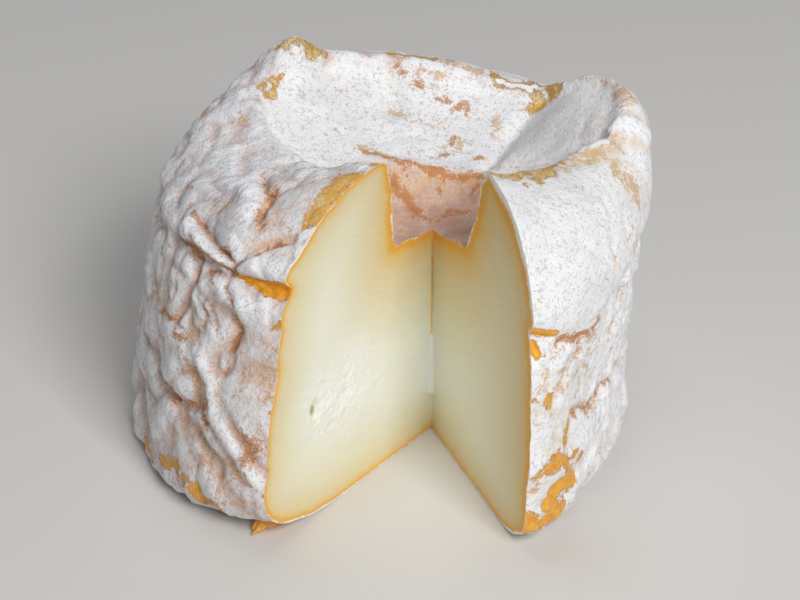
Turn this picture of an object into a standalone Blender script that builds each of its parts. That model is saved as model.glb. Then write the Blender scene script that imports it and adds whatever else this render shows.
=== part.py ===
"""A small soft washed-rind cheese: a round drum with a sunken top, cut open by one wedge.

The cheese is one solid. Its skin is worked out in profiles. A profile is the outline of a radial section,
drawn from the middle of the base, up the side, over the rim and down into the hollow. The profiles turn
round the pole, the upright line where the two knife cuts meet. The folds of the rind are relief on them.
"""

import bmesh
import bpy
import numpy as np
from mathutils import Vector, noise
from mathutils.geometry import delaunay_2d_cdt

# Lengths are in millimetres and azimuths in degrees, counted from +X towards +Y. MM turns them into metres.
MM = 0.001

# The knife cuts, and where the pole stands in the part's frame.
CUT_RIGHT = -68.6
CUT_LEFT = 233.4
POLE = (7.01, -5.76)
POLE_TOP = 34.8

# The drum is a stack of three rings, each with its middle (from the pole), its radius and its height as a
# share of the shoulder's.
FOOT_RING = (-7.3, 6.3, 38.6, 0.12)
BELLY_RING = (-6.4, 5.8, 37.3, 0.55)
SHOULDER_RING = (-4.4, 4.6, 36.8, 1.0)
# The wall slumps out beside each cut, and in on the right: azimuth, how far at foot and shoulder, half width.
SLUMPS = ((CUT_RIGHT, 5.4, 4.2, 16.0), (CUT_LEFT, 3.2, 0.4, 24.0), (0, -0.3, -1.3, 18.0))

# Heights and radii round the cheese, as (azimuth, value) pairs from the right cut to the left one.
FOOT_IN = (
    (CUT_RIGHT, 9.0), (-52, 5.6), (-40, 3.8), (90, 3.6), (165, 3.0), (180, 1.8), (198, 1.8), (206, 3.8),
    (219, 8.0), (CUT_LEFT, 15.5),
)
FOOT_UP = ((CUT_RIGHT, 5.2), (-50, 4.2), (165, 4.2), (180, 3.0), (200, 3.4), (215, 5.5), (CUT_LEFT, 7.5))
SHOULDER_HEIGHT = (
    (CUT_RIGHT, 38.5), (0, 36), (45, 38), (90, 38), (130, 40), (165, 35), (200, 34), (CUT_LEFT, 36),
)
RIM_HEIGHT = (
    (CUT_RIGHT, 53.8), (-60, 51.8), (-43, 50.6), (-24, 49.2), (-6, 48.4), (4, 47.4), (14, 49.6), (30, 51.2),
    (40, 50.6), (45, 50.1), (49, 46.8), (54, 46.2), (65, 45.9), (76, 46.3), (88, 47.5), (105, 49.0),
    (120, 49.6), (129, 52.4), (138, 50.4), (155, 49.0), (168, 47.0), (180, 46.4), (200, 48.0), (216, 49.6),
    (CUT_LEFT, 50.4),
)
RIM_RADIUS = (
    (CUT_RIGHT, 19.0), (-60, 16.9), (-43, 16.4), (-24, 17.0), (-10, 18.8), (0, 21.6), (7, 25.4), (16, 29.4),
    (30, 31.8), (52, 30.4), (88, 30.0), (105, 31.0), (129, 33.6), (143, 31.6), (155, 27.8), (165, 24.0),
    (176, 19.4), (191, 16.5), (211, 13.4), (CUT_LEFT, 11.2),
)
PIT_RADIUS = (
    (CUT_RIGHT, 15.9), (-20, 13.4), (36, 10.6), (90, 9.6), (137, 11.6), (180, 12.2), (CUT_LEFT, 9.8),
)
PIT_HEIGHT = (
    (CUT_RIGHT, 43.8), (-20, 42.0), (20, 40.6), (90, 40.0), (137, 42.2), (190, 42.5), (CUT_LEFT, 43.0),
)
FLOOR_RADIUS = ((CUT_RIGHT, 11.4), (0, 8.0), (90, 6.0), (180, 7.0), (CUT_LEFT, 9.6))
FLOOR_HEIGHT = ((CUT_RIGHT, 37.6), (0, 36.6), (90, 35.8), (180, 36.0), (CUT_LEFT, 36.0))
CORNER_ROUNDING, TURN_STEP = 4.0, 0.25
# How far the rim's inner lip reaches in and down, at most this share of the way to the pit.
LIP_IN = (
    (CUT_RIGHT, 1.6), (-20, 2.0), (5, 4.0), (35, 5.0), (48, 2.6), (110, 2.4), (140, 2.8), (155, 2.2),
    (170, 1.5), (200, 1.5), (CUT_LEFT, 1.6),
)
LIP_DOWN = (
    (CUT_RIGHT, 2.6), (-20, 2.4), (10, 2.8), (35, 3.2), (50, 2.6), (150, 2.8), (170, 3.2), (200, 3.0),
    (CUT_LEFT, 2.6),
)
LIP_SHARE = 0.6
BOWL_SAG = 0.06  # as a share of the bowl's width

# A place along a profile is a number: 0 to 1 is the base, 1 to 2 the foot, 2 to 3 the wall, 3 to 4 the
# shoulder, 4 to 5 the lip, 5 to 6 the bowl, 6 to 7 the side of the pit and 7 to 8 its floor.
FOOT, WALL, SHOULDER, RIM, PLACES = 1, 2, 3, 4, 8
SAMPLES = 64
PROFILE_ROUNDING = 5

# One long fold runs round the cheese, where the sagging top laps over the side.
FOLD_PLACE = (
    (CUT_RIGHT, 2.92), (-60, 2.87), (-50, 2.83), (-39, 2.85), (-27, 2.92), (-8, 2.98), (18, 2.9),
    (40, 3.02), (70, 2.9), (92, 2.96), (118, 3.1), (140, 3.0), (165, 3.08), (190, 3.17), (202, 3.23),
    (211, 3.2), (CUT_LEFT, 3.17),
)
FOLD_DEPTH = (
    (CUT_RIGHT, 0.7), (-60, 0.4), (-45, 0.3), (-20, 0.35), (0, 0.5), (25, 1.1), (50, 0.4), (80, 0.9),
    (105, 1.1), (130, 0.3), (155, 0.9), (180, 0.5), (200, 0.9), (217, 1.4), (CUT_LEFT, 1.7),
)
FOLD_ABOVE, FOLD_BELOW, FOLD_UNDERCUT = 1.1, 2.2, 0.35
# The lap over it: how high, as a share of the depth, how far above the fold, half width.
FOLD_LAP = (0.55, 2.8, 1.9)

# Creases and lumps of the rind: (height, half width, the (azimuth, place) pairs that its line runs through).
STROKES = (
    (-1.0, 1.0, ((197, 3.39), (203, 3.36), (210, 3.31), (214, 3.28))),
    (0.9, 1.3, ((197, 3.34), (205, 3.29), (213, 3.24))),
    (-0.7, 0.9, ((217, 3.25), (219, 3.31), (221, 3.39), (224, 3.44), (228, 3.47))),
    (1.1, 2.8, ((218, 3.08), (222, 3.05))),
    (1.2, 4.2, ((204, 2.68), (205, 2.54))),
    (-1.1, 1.1, ((194, 2.54), (197, 2.44), (205, 2.42), (211, 2.42), (215, 2.48))),
    (0.9, 1.2, ((214, 2.67), (217, 2.58), (218, 2.5), (219, 2.42), (223, 2.35), (227, 2.25), (231, 2.17))),
    (-0.7, 1.1, ((224, 2.4), (228, 2.29), (CUT_LEFT, 2.17))),
    (-0.8, 1.3, ((207, 2.35), (214, 2.29), (218, 2.21), (221, 2.15))),
    (-1.0, 1.0, ((204, 3.19), (206, 3.06), (204, 2.9), (203, 2.83))),
    (-0.8, 1.0, ((214, 3.0), (220, 2.98), (222, 2.9), (220, 2.79), (221, 2.73))),
    (-0.8, 1.1, ((192, 3.28), (192, 3.17), (194, 3.03), (194, 2.94))),
    (1.5, 2.2, ((200, 3.64), (207, 3.58))),
    (-1.1, 1.0, ((192, 3.76), (200, 3.72), (209, 3.68), (211, 3.61), (213, 3.55))),
    (-0.9, 1.1, ((-52, 2.43), (-46, 2.4), (-38, 2.35), (-29, 2.38), (-20, 2.37), (-8, 2.32), (2, 2.27))),
    (0.9, 4.0, ((-44, 2.26), (-30, 2.25))),
    (-0.6, 0.9, ((-52, 2.79), (-51, 2.7))),
    (-0.6, 0.9, ((-56, 2.73), (-58, 2.65), (-62, 2.6))),
    (-1.0, 4.5, ((183, 2.2), (189, 2.1))),
    (-1.0, 1.6, ((50, 5.85), (54, 5.5), (56, 5.2), (56, 4.8), (55, 4.4))),
    (-1.0, 1.8, ((104, 5.3), (102, 4.6), (101, 4.1))),
    (2.4, 3.3, ((127, 3.95), (131, 4.1))),
    (1.7, 5.0, ((6, 3.43), (13, 3.48), (19, 3.56))),
    (1.8, 8.0, ((CUT_RIGHT, 2.32), (CUT_RIGHT, 2.52))),
    (0.9, 7.0, ((CUT_LEFT, 2.25), (CUT_LEFT, 2.4))),
    (-1.3, 1.5, ((17, 5.5), (15, 5.2), (13, 5.0), (10, 4.6), (8, 4.2))),
    (0.8, 1.5, ((-2, 4.0), (6, 4.0), (11, 3.9), (11, 3.6))),
)
# The small wrinkles between them: size, how much their lines wander, height, how sharp, how deep they sink.
WRINKLE_SIZE, WRINKLE_WARP, WRINKLE_GAIN, WRINKLE_SHARP, WRINKLE_SINK = 7.0, 6.0, 1.8, 0.7, 0.5
WARP_OFFSETS = ((31.4, 0, 0), (0, 47.1, 0), (0, 0, 15.9))
WRINKLES_BELOW = (
    (CUT_RIGHT, 0.5), (-20, 0.7), (60, 0.9), (190, 0.9), (215, 0.7), (CUT_LEFT, 0.4),
)
WRINKLES_ABOVE = (
    (CUT_RIGHT, 0.2), (0, 0.3), (60, 0.6), (150, 0.8), (205, 0.8), (CUT_LEFT, 0.3),
)
WRINKLES_IN_BOWL = 0.25
SWELL_SIZE, SWELL = 24.0, 0.8
RELIEF_FADE = 2.0  # the relief dies away over a place divided by this, at the foot and at the pole
# A flap of torn rind at the foot of the left cut: azimuth, half width, reach and height.
FLAP = (227.5, 2.6, 8.0, 1.2)

# Rows of the mesh in each part of the profile, and its columns, which stand closer beside the cuts.
ROWS = (3, 3, 16, 12, 3, 8, 6, 3)
ROWS_CLOSE_IN = 1.4
COLUMNS = 104
COLUMNS_UP_TO = ((0, CUT_RIGHT), (0.18, -28), (0.7, 186), (1, CUT_LEFT))  # share of the columns, azimuth


def around(pairs, azimuth):
    """The value at each azimuth of a run of (azimuth, value) pairs, with its corners rounded off."""
    steps = np.arange(CUT_RIGHT, CUT_LEFT + 0.5 * TURN_STEP, TURN_STEP)
    at, value = np.array(pairs).T
    reach = int(4 * CORNER_ROUNDING / TURN_STEP)
    weight = np.exp(-0.5 * (np.arange(-reach, reach + 1) * TURN_STEP / CORNER_ROUNDING) ** 2)
    run = np.pad(np.interp(steps, at, value), reach, mode="reflect", reflect_type="odd")
    return np.interp(azimuth, steps, np.convolve(run, weight / weight.sum(), mode="valid"))


def ring_radius(ring, azimuth):
    """How far the ring is from the pole at each azimuth."""
    x, y, radius, _ = ring
    angle = np.radians(azimuth)
    along = x * np.cos(angle) + y * np.sin(angle)
    return along + np.sqrt(radius**2 - x * x - y * y + along**2)


def wall_radius(share, azimuth):
    """The smooth wall's radius at a share of the shoulder's height, on a curve through the three rings."""
    rings = (FOOT_RING, BELLY_RING, SHOULDER_RING)
    low, middle, high = (ring[3] for ring in rings)
    foot, belly, shoulder = (ring_radius(ring, azimuth) for ring in rings)
    radius = (
        foot * (share - middle) * (share - high) / ((low - middle) * (low - high))
        + belly * (share - low) * (share - high) / ((middle - low) * (middle - high))
        + shoulder * (share - low) * (share - middle) / ((high - low) * (high - middle))
    )
    for at, at_foot, at_shoulder, width in SLUMPS:
        near = np.exp(-0.5 * ((azimuth - at) / width) ** 2)
        radius += (at_foot + (at_shoulder - at_foot) * share) * near
    return radius


def rounded(runs):
    """Each row of the array, averaged along itself with its two ends held."""
    reach = np.arange(-3 * PROFILE_ROUNDING, 3 * PROFILE_ROUNDING + 1)
    weight = np.exp(-0.5 * (reach / PROFILE_ROUNDING) ** 2)
    weight /= weight.sum()
    ends = (3 * PROFILE_ROUNDING, 3 * PROFILE_ROUNDING)
    padded = np.pad(runs, ((0, 0), ends), mode="reflect", reflect_type="odd")
    return np.stack([np.convolve(run, weight, mode="valid") for run in padded])


def profiles(azimuth):
    """The smooth profile at each azimuth: a table of radii and one of heights, with SAMPLES steps a place."""
    azimuth = np.asarray(azimuth, float)[:, None]
    t = np.linspace(0, 1, SAMPLES, endpoint=False)[None, :]
    turn = 0.5 * np.pi * t
    swing = 0.5 - 0.5 * np.cos(np.pi * t)
    foot_in, foot_up = around(FOOT_IN, azimuth), around(FOOT_UP, azimuth)
    shoulder_z = around(SHOULDER_HEIGHT, azimuth)
    rim_r, rim_z = around(RIM_RADIUS, azimuth), around(RIM_HEIGHT, azimuth)
    pit_r, pit_z = around(PIT_RADIUS, azimuth), around(PIT_HEIGHT, azimuth)
    floor_r, floor_z = around(FLOOR_RADIUS, azimuth), around(FLOOR_HEIGHT, azimuth)
    lip_r = rim_r - np.minimum(around(LIP_IN, azimuth), LIP_SHARE * (rim_r - pit_r))
    lip_z = rim_z - np.minimum(around(LIP_DOWN, azimuth), LIP_SHARE * (rim_z - pit_z))
    foot_r, shoulder_r = wall_radius(foot_up / shoulder_z, azimuth), wall_radius(1.0, azimuth)
    height = foot_up + (shoulder_z - foot_up) * t
    sag = BOWL_SAG * (lip_r - pit_r) * np.sin(np.pi * t)
    parts = (
        ((foot_r - foot_in) * t, 0 * foot_r * t),
        (foot_r - foot_in * (1 - np.sin(turn)), foot_up * (1 - np.cos(turn))),
        (wall_radius(height / shoulder_z, azimuth), height),
        (rim_r + (shoulder_r - rim_r) * np.cos(turn), shoulder_z + (rim_z - shoulder_z) * np.sin(turn)),
        (lip_r + (rim_r - lip_r) * np.cos(turn), rim_z + (lip_z - rim_z) * np.sin(turn)),
        (lip_r + (pit_r - lip_r) * t, lip_z + (pit_z - lip_z) * t - sag),
        (pit_r + (floor_r - pit_r) * t, pit_z + (floor_z - pit_z) * swing),
        (floor_r * (1 - t), floor_z + (POLE_TOP - floor_z) * swing),
    )
    radii = np.concatenate([part[0] for part in parts] + [0 * foot_r], axis=1)
    heights = np.concatenate([part[1] for part in parts] + [0 * foot_r + POLE_TOP], axis=1)
    return rounded(radii), rounded(heights)


def read_at(table, place):
    """The table's values at places along the profiles: one row of places for all of them, or one for each."""
    place = np.broadcast_to(place, (len(table), np.shape(place)[-1]))
    step = np.clip(place * SAMPLES, 0, PLACES * SAMPLES - 1e-9)
    low = step.astype(int)
    share = step - low
    return np.take_along_axis(table, low, 1) * (1 - share) + np.take_along_axis(table, low + 1, 1) * share


def upright(azimuth, r, z):
    """Points from the pole, of radii and heights at each azimuth."""
    turn = np.radians(azimuth)[:, None]
    return np.stack((r * np.cos(turn), r * np.sin(turn), z), axis=2)


def stroke_height(points, height, width, line):
    """How far one crease or lump raises each point. It fades out with the distance from its line."""
    at, place = np.array(line, float).T
    steps = np.linspace(0, len(line) - 1, 12 * len(line))
    at = np.interp(steps, np.arange(len(line)), at)
    place = np.interp(steps, np.arange(len(line)), place)[:, None]
    r, z = profiles(at)
    middle = upright(at, read_at(r, place), read_at(z, place))[:, 0]
    raised = np.empty(points.shape[:2])
    for column, out in zip(points, raised):
        near = ((column[:, None] - middle) ** 2).sum(axis=2).min(axis=1)
        out[:] = height * np.exp(-near / width**2)
    return raised


def wrinkle(point):
    """A round lump between sharp creases."""
    point = Vector(point)
    slow = point / (2 * WRINKLE_SIZE)
    warp = Vector([noise.noise(slow + Vector(offset)) for offset in WARP_OFFSETS])
    lump = abs(noise.noise((point + WRINKLE_WARP * warp) / WRINKLE_SIZE))
    return WRINKLE_GAIN * lump**WRINKLE_SHARP - WRINKLE_SINK


def swell(point):
    return noise.noise(Vector(point) / SWELL_SIZE)


def each(function, points):
    return np.array([[function(point) for point in column] for column in points])


def fold_shape(azimuth, from_fold):
    """What the long fold does to the skin, outwards and along it, at a distance above the fold's line."""
    depth = around(FOLD_DEPTH, azimuth)[:, None]
    width = np.where(from_fold > 0, FOLD_ABOVE, FOLD_BELOW)
    share, above, half = FOLD_LAP
    groove = np.exp(-((from_fold / width) ** 2))
    lap = share * np.exp(-(((from_fold - above) / half) ** 2))
    return depth * (lap - groove), depth * FOLD_UNDERCUT * groove


def skin(azimuth, place):
    """The folded rind as radii and heights, at places along the profile of each azimuth."""
    smooth_r, smooth_z = profiles(azimuth)
    r, z = read_at(smooth_r, place), read_at(smooth_z, place)
    ahead, behind = np.minimum(place + 1 / SAMPLES, PLACES), np.maximum(place - 1 / SAMPLES, 0)
    along_r = read_at(smooth_r, ahead) - read_at(smooth_r, behind)
    along_z = read_at(smooth_z, ahead) - read_at(smooth_z, behind)
    length = np.hypot(along_r, along_z)
    along_r, along_z = along_r / length, along_z / length
    run = np.cumsum(np.hypot(np.diff(smooth_r, prepend=0), np.diff(smooth_z, prepend=0)), axis=1)
    from_fold = read_at(run, place) - read_at(run, around(FOLD_PLACE, azimuth)[:, None])

    points = upright(azimuth, r, z)
    below, above = around(WRINKLES_BELOW, azimuth)[:, None], around(WRINKLES_ABOVE, azimuth)[:, None]
    inside = np.clip(place - RIM, 0, 1)
    rough = np.where(from_fold > 0, above, below) * (1 - inside) + WRINKLES_IN_BOWL * inside
    out, along = fold_shape(azimuth, from_fold)
    out = out + rough * each(wrinkle, points) + SWELL * each(swell, points) * (1 - inside)
    for height, width, line in STROKES:
        out += stroke_height(points, height, width, line)
    # The relief dies away towards the flat base and towards the pole.
    fade = np.clip(RELIEF_FADE * (place - FOOT), 0, 1) * np.clip(RELIEF_FADE * (PLACES - place), 0, 1)
    at, half, reach, height = FLAP
    near = np.exp(-(((azimuth[:, None] - at) / half) ** 2) - (z / height) ** 2)
    r = r + fade * (out * along_z + along * along_r) + reach * near * np.minimum(place, FOOT)
    z = z + fade * (along * along_z - out * along_r)
    return r, np.maximum(z, 0)


def rows_of(rows, azimuth):
    """The places of the mesh's rows for each azimuth. They close in on the long fold from both sides."""
    fold = around(FOLD_PLACE, azimuth)[:, None]
    places = [part + np.arange(count) / count + 0 * fold for part, count in enumerate(rows)]
    below = 1 - (1 - np.arange(rows[WALL]) / rows[WALL]) ** ROWS_CLOSE_IN
    above = (np.arange(rows[SHOULDER]) / rows[SHOULDER]) ** ROWS_CLOSE_IN
    places[WALL] = WALL + (fold - WALL) * below
    places[SHOULDER] = fold + (RIM - fold) * above
    return np.concatenate(places + [PLACES + 0 * fold], axis=1)


def triangles_inside(outline):
    """Triangles that fill an outline of (r, z) points, as indices of the points, anticlockwise."""
    corners = [Vector(point) for point in outline]
    inside_only, nearest = 1, 1e-6
    found = delaunay_2d_cdt(corners, [], [list(range(len(corners)))], inside_only, nearest)
    faces, came_from = found[2], found[3]
    return [[came_from[corner][0] for corner in face] for face in faces]


def cheese_mesh(name):
    azimuth = np.interp(np.linspace(0, 1, COLUMNS), *np.array(COLUMNS_UP_TO).T)
    r, z = skin(azimuth, rows_of(ROWS, azimuth))
    points = (upright(azimuth, r, z) + (*POLE, 0)) * MM

    mesh = bmesh.new()
    under, over = mesh.verts.new(points[0, 0]), mesh.verts.new(points[0, -1])
    columns = [[mesh.verts.new(point) for point in column[1:-1]] for column in points]
    for left, right in zip(columns, columns[1:]):
        mesh.faces.new((under, right[0], left[0]))
        mesh.faces.new((over, left[-1], right[-1]))
        for a, b, c, d in zip(left, right, right[1:], left[1:]):
            mesh.faces.new((a, b, c, d))
    # The two knife cuts are flat faces that share the pole.
    for side, turned in ((0, 1), (-1, -1)):
        corners = [under] + columns[side] + [over]
        for triangle in triangles_inside(zip(r[side], z[side])):
            mesh.faces.new([corners[corner] for corner in triangle[::turned]])
    bmesh.ops.triangulate(mesh, faces=mesh.faces[:], quad_method="SHORT_EDGE")
    data = bpy.data.meshes.new(name)
    mesh.to_mesh(data)
    mesh.free()
    return data


def rind_material():
    material = bpy.data.materials.new("rind")
    material.use_nodes = True
    shader = material.node_tree.nodes["Principled BSDF"]
    shader.inputs["Base Color"].default_value = (0.84, 0.79, 0.72, 1.0)
    shader.inputs["Roughness"].default_value = 0.8
    return material


def main():
    for thing in list(bpy.data.objects):
        bpy.data.objects.remove(thing)
    cheese = bpy.data.objects.new("cheese", cheese_mesh("cheese"))
    cheese.data.materials.append(rind_material())
    bpy.context.scene.collection.objects.link(cheese)


main()
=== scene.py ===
"""The looks of the cut cheese: its skin at a finer grain than the solid's, and the paste of its two cuts."""

import bpy
import numpy as np
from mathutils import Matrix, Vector, noise
from mathutils.geometry import delaunay_2d_cdt


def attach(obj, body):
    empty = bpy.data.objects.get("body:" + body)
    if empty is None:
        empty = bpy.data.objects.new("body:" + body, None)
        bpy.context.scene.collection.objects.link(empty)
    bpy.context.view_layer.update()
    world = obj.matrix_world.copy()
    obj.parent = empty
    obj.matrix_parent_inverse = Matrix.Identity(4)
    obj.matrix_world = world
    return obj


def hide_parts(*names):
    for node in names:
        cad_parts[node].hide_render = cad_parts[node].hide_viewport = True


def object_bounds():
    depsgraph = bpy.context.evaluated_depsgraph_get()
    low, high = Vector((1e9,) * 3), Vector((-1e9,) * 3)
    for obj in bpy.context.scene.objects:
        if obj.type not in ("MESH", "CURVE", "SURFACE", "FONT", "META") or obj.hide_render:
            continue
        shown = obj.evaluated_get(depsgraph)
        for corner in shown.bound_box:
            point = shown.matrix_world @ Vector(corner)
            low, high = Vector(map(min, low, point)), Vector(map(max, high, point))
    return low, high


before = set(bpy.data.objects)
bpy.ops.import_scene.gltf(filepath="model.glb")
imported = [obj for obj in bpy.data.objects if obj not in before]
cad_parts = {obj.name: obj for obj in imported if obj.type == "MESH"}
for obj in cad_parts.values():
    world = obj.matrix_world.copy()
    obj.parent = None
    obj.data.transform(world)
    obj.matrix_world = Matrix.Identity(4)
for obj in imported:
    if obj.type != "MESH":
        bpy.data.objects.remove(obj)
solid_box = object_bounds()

# Lengths are in millimetres and azimuths in degrees, counted from +X towards +Y. MM turns them into metres.
MM = 0.001

# The azimuths of the two knife cuts. They meet at the pole, which stands here in the part's frame.
RIGHT, LEFT = -68.6, 233.4
POLE, POLE_TOP = (7.01, -5.76), 34.8

# The drum is a stack of three rings, each with its middle (from the pole), its radius and its height as a
# share of the shoulder's.
FOOT_RING = (-7.3, 6.3, 38.6, 0.12)
BELLY_RING = (-6.4, 5.8, 37.3, 0.55)
SHOULDER_RING = (-4.4, 4.6, 36.8, 1.0)
# The wall slumps out beside each cut, and in on the right: azimuth, how far at foot and shoulder, half width.
SLUMPS = ((RIGHT, 5.4, 4.2, 16.0), (LEFT, 3.2, 0.4, 24.0), (0, -0.3, -1.3, 18.0))

# Heights and radii round the cheese, as (azimuth, value) pairs from the right cut to the left one.
FOOT_IN = (
    (RIGHT, 9), (-52, 5.6), (-40, 3.8), (90, 3.6), (165, 3), (180, 1.8), (198, 1.8), (206, 3.8),
    (219, 8), (LEFT, 15.5),
)
FOOT_UP = ((RIGHT, 5.2), (-50, 4.2), (165, 4.2), (180, 3), (200, 3.4), (215, 5.5), (LEFT, 7.5))
SHOULDER_HEIGHT = ((RIGHT, 38.5), (0, 36), (45, 38), (90, 38), (130, 40), (165, 35), (200, 34), (LEFT, 36))
RIM_HEIGHT = (
    (RIGHT, 53.8), (-60, 51.8), (-43, 50.6), (-24, 49.2), (-6, 48.4), (4, 47.4), (14, 49.6), (30, 51.2),
    (40, 50.6), (45, 50.1), (49, 46.8), (54, 46.2), (65, 45.9), (76, 46.3), (88, 47.5), (105, 49),
    (120, 49.6), (129, 52.4), (138, 50.4), (155, 49), (168, 47), (180, 46.4), (200, 48), (216, 49.6),
    (LEFT, 50.4),
)
RIM_RADIUS = (
    (RIGHT, 19), (-60, 16.9), (-43, 16.4), (-24, 17), (-10, 18.8), (0, 21.6), (7, 25.4), (16, 29.4),
    (30, 31.8), (52, 30.4), (88, 30), (105, 31), (129, 33.6), (143, 31.6), (155, 27.8), (165, 24),
    (176, 19.4), (191, 16.5), (211, 13.4), (LEFT, 11.2),
)
PIT_RADIUS = ((RIGHT, 15.9), (-20, 13.4), (36, 10.6), (90, 9.6), (137, 11.6), (180, 12.2), (LEFT, 9.8))
PIT_HEIGHT = ((RIGHT, 43.8), (-20, 42), (20, 40.6), (90, 40), (137, 42.2), (190, 42.5), (LEFT, 43))
FLOOR_RADIUS = ((RIGHT, 11.4), (0, 8), (90, 6), (180, 7), (LEFT, 9.6))
FLOOR_HEIGHT = ((RIGHT, 37.6), (0, 36.6), (90, 35.8), (180, 36), (LEFT, 36))
# Such a run is read in these steps and its corners are rounded by a bell of this spread, cut off at so many
# spreads. The bell that rounds the profiles counts in samples.
TURN_STEP, CORNER_ROUNDING, CORNER_REACH = 0.25, 4.0, 4
PROFILE_ROUNDING, PROFILE_REACH = 5, 3
HELD_ENDS = {"mode": "reflect", "reflect_type": "odd"}
# How far the rim's inner lip reaches in and down, at most this share of the way to the pit.
LIP_IN = (
    (RIGHT, 1.6), (-20, 2), (5, 4), (35, 5), (48, 2.6), (110, 2.4), (140, 2.8), (155, 2.2), (170, 1.5),
    (200, 1.5), (LEFT, 1.6),
)
LIP_DOWN = (
    (RIGHT, 2.6), (-20, 2.4), (10, 2.8), (35, 3.2), (50, 2.6), (150, 2.8), (170, 3.2), (200, 3),
    (LEFT, 2.6),
)
LIP_SHARE = 0.6
BOWL_SAG = 0.06  # as a share of the bowl's width

# A place along a profile is a number: 0 to 1 is the base, 1 to 2 the foot, 2 to 3 the wall, 3 to 4 the
# shoulder, 4 to 5 the lip, 5 to 6 the bowl, 6 to 7 the side of the pit and 7 to 8 its floor.
FOOT, WALL, SHOULDER, RIM, PLACES = 1, 2, 3, 4, 8
SAMPLES = 64  # in each place
# How far short of the last sample a place is still read.
JUST_SHORT = 1e-9

# One long fold runs round the cheese, where the sagging top laps over the side.
FOLD_PLACE = (
    (RIGHT, 2.92), (-60, 2.87), (-50, 2.83), (-39, 2.85), (-27, 2.92), (-8, 2.98), (18, 2.9), (40, 3.02),
    (70, 2.9), (92, 2.96), (118, 3.1), (140, 3), (165, 3.08), (190, 3.17), (202, 3.23), (211, 3.2),
    (LEFT, 3.17),
)
FOLD_DEPTH = (
    (RIGHT, 0.7), (-60, 0.4), (-45, 0.3), (-20, 0.35), (0, 0.5), (25, 1.1), (50, 0.4), (80, 0.9), (105, 1.1),
    (130, 0.3), (155, 0.9), (180, 0.5), (200, 0.9), (217, 1.4), (LEFT, 1.7),
)
FOLD_ABOVE, FOLD_BELOW, FOLD_UNDERCUT = 1.1, 2.2, 0.35
# The lap over it: how high, as a share of the depth, how far above the fold, half width.
FOLD_LAP = (0.55, 2.8, 1.9)

# Creases and lumps of the rind: (height, half width, then the azimuth and place of each point on its line).
STROKES = (
    (-1, 1, 197, 3.39, 203, 3.36, 210, 3.31, 214, 3.28), (0.9, 1.3, 197, 3.34, 205, 3.29, 213, 3.24),
    (-0.7, 0.9, 217, 3.25, 219, 3.31, 221, 3.39, 224, 3.44, 228, 3.47), (1.1, 2.8, 218, 3.08, 222, 3.05),
    (1.2, 4.2, 204, 2.68, 205, 2.54), (-1.1, 1.1, 194, 2.54, 197, 2.44, 205, 2.42, 211, 2.42, 215, 2.48),
    (0.9, 1.2, 214, 2.67, 217, 2.58, 218, 2.5, 219, 2.42, 223, 2.35, 227, 2.25, 231, 2.17),
    (-0.7, 1.1, 224, 2.4, 228, 2.29, LEFT, 2.17), (-0.8, 1.3, 207, 2.35, 214, 2.29, 218, 2.21, 221, 2.15),
    (-1, 1, 204, 3.19, 206, 3.06, 204, 2.9, 203, 2.83),
    (-0.8, 1, 214, 3, 220, 2.98, 222, 2.9, 220, 2.79, 221, 2.73),
    (-0.8, 1.1, 192, 3.28, 192, 3.17, 194, 3.03, 194, 2.94), (1.5, 2.2, 200, 3.64, 207, 3.58),
    (-1.1, 1, 192, 3.76, 200, 3.72, 209, 3.68, 211, 3.61, 213, 3.55),
    (-0.9, 1.1, -52, 2.43, -46, 2.4, -38, 2.35, -29, 2.38, -20, 2.37, -8, 2.32, 2, 2.27),
    (0.9, 4, -44, 2.26, -30, 2.25), (-0.6, 0.9, -52, 2.79, -51, 2.7),
    (-0.6, 0.9, -56, 2.73, -58, 2.65, -62, 2.6), (-1, 4.5, 183, 2.2, 189, 2.1),
    (-1, 1.6, 50, 5.85, 54, 5.5, 56, 5.2, 56, 4.8, 55, 4.4), (-1, 1.8, 104, 5.3, 102, 4.6, 101, 4.1),
    (2.4, 3.3, 127, 3.95, 131, 4.1), (1.7, 5, 6, 3.43, 13, 3.48, 19, 3.56),
    (1.8, 8, RIGHT, 2.32, RIGHT, 2.52), (0.9, 7, LEFT, 2.25, LEFT, 2.4),
    (-1.3, 1.5, 17, 5.5, 15, 5.2, 13, 5, 10, 4.6, 8, 4.2), (0.8, 1.5, -2, 4, 6, 4, 11, 3.9, 11, 3.6),
)
# The small wrinkles between them: size, how much their lines wander, height, how sharp, how deep they sink.
WRINKLE_SIZE, WRINKLE_WARP, WRINKLE_GAIN, WRINKLE_SHARP, WRINKLE_SINK = 7.0, 6.0, 1.8, 0.7, 0.5
WANDER_OFFSETS = (Vector((31.4, 0, 0)), Vector((0, 47.1, 0)), Vector((0, 0, 15.9)))
RIDGE_GAIN, RIDGE_SINK = 2.4, 0.5
WRINKLES_BELOW = ((RIGHT, 0.5), (-20, 0.7), (60, 0.9), (190, 0.9), (215, 0.7), (LEFT, 0.4))
WRINKLES_ABOVE = ((RIGHT, 0.2), (0, 0.3), (60, 0.6), (150, 0.8), (205, 0.8), (LEFT, 0.3))
WRINKLES_IN_BOWL = 0.25
SWELL_SIZE, SWELL = 24.0, 0.8
RELIEF_FADE = 2.0  # the relief dies away over a place divided by this, at the foot and at the pole
# A flap of torn rind at the foot of the left cut: azimuth, half width, reach and height.
FLAP = (227.5, 2.6, 8.0, 1.2)
# What its torn edge keeps of that reach: (azimuth, share) pairs.
TORN = (
    (223.5, 0), (224.6, 0.75), (225.2, 0.5), (226, 1), (226.8, 0.8), (227.6, 1), (228.2, 0.7),
    (229, 0.95), (229.8, 0.5), (230.6, 0.7), (231.6, 0),
)

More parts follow.
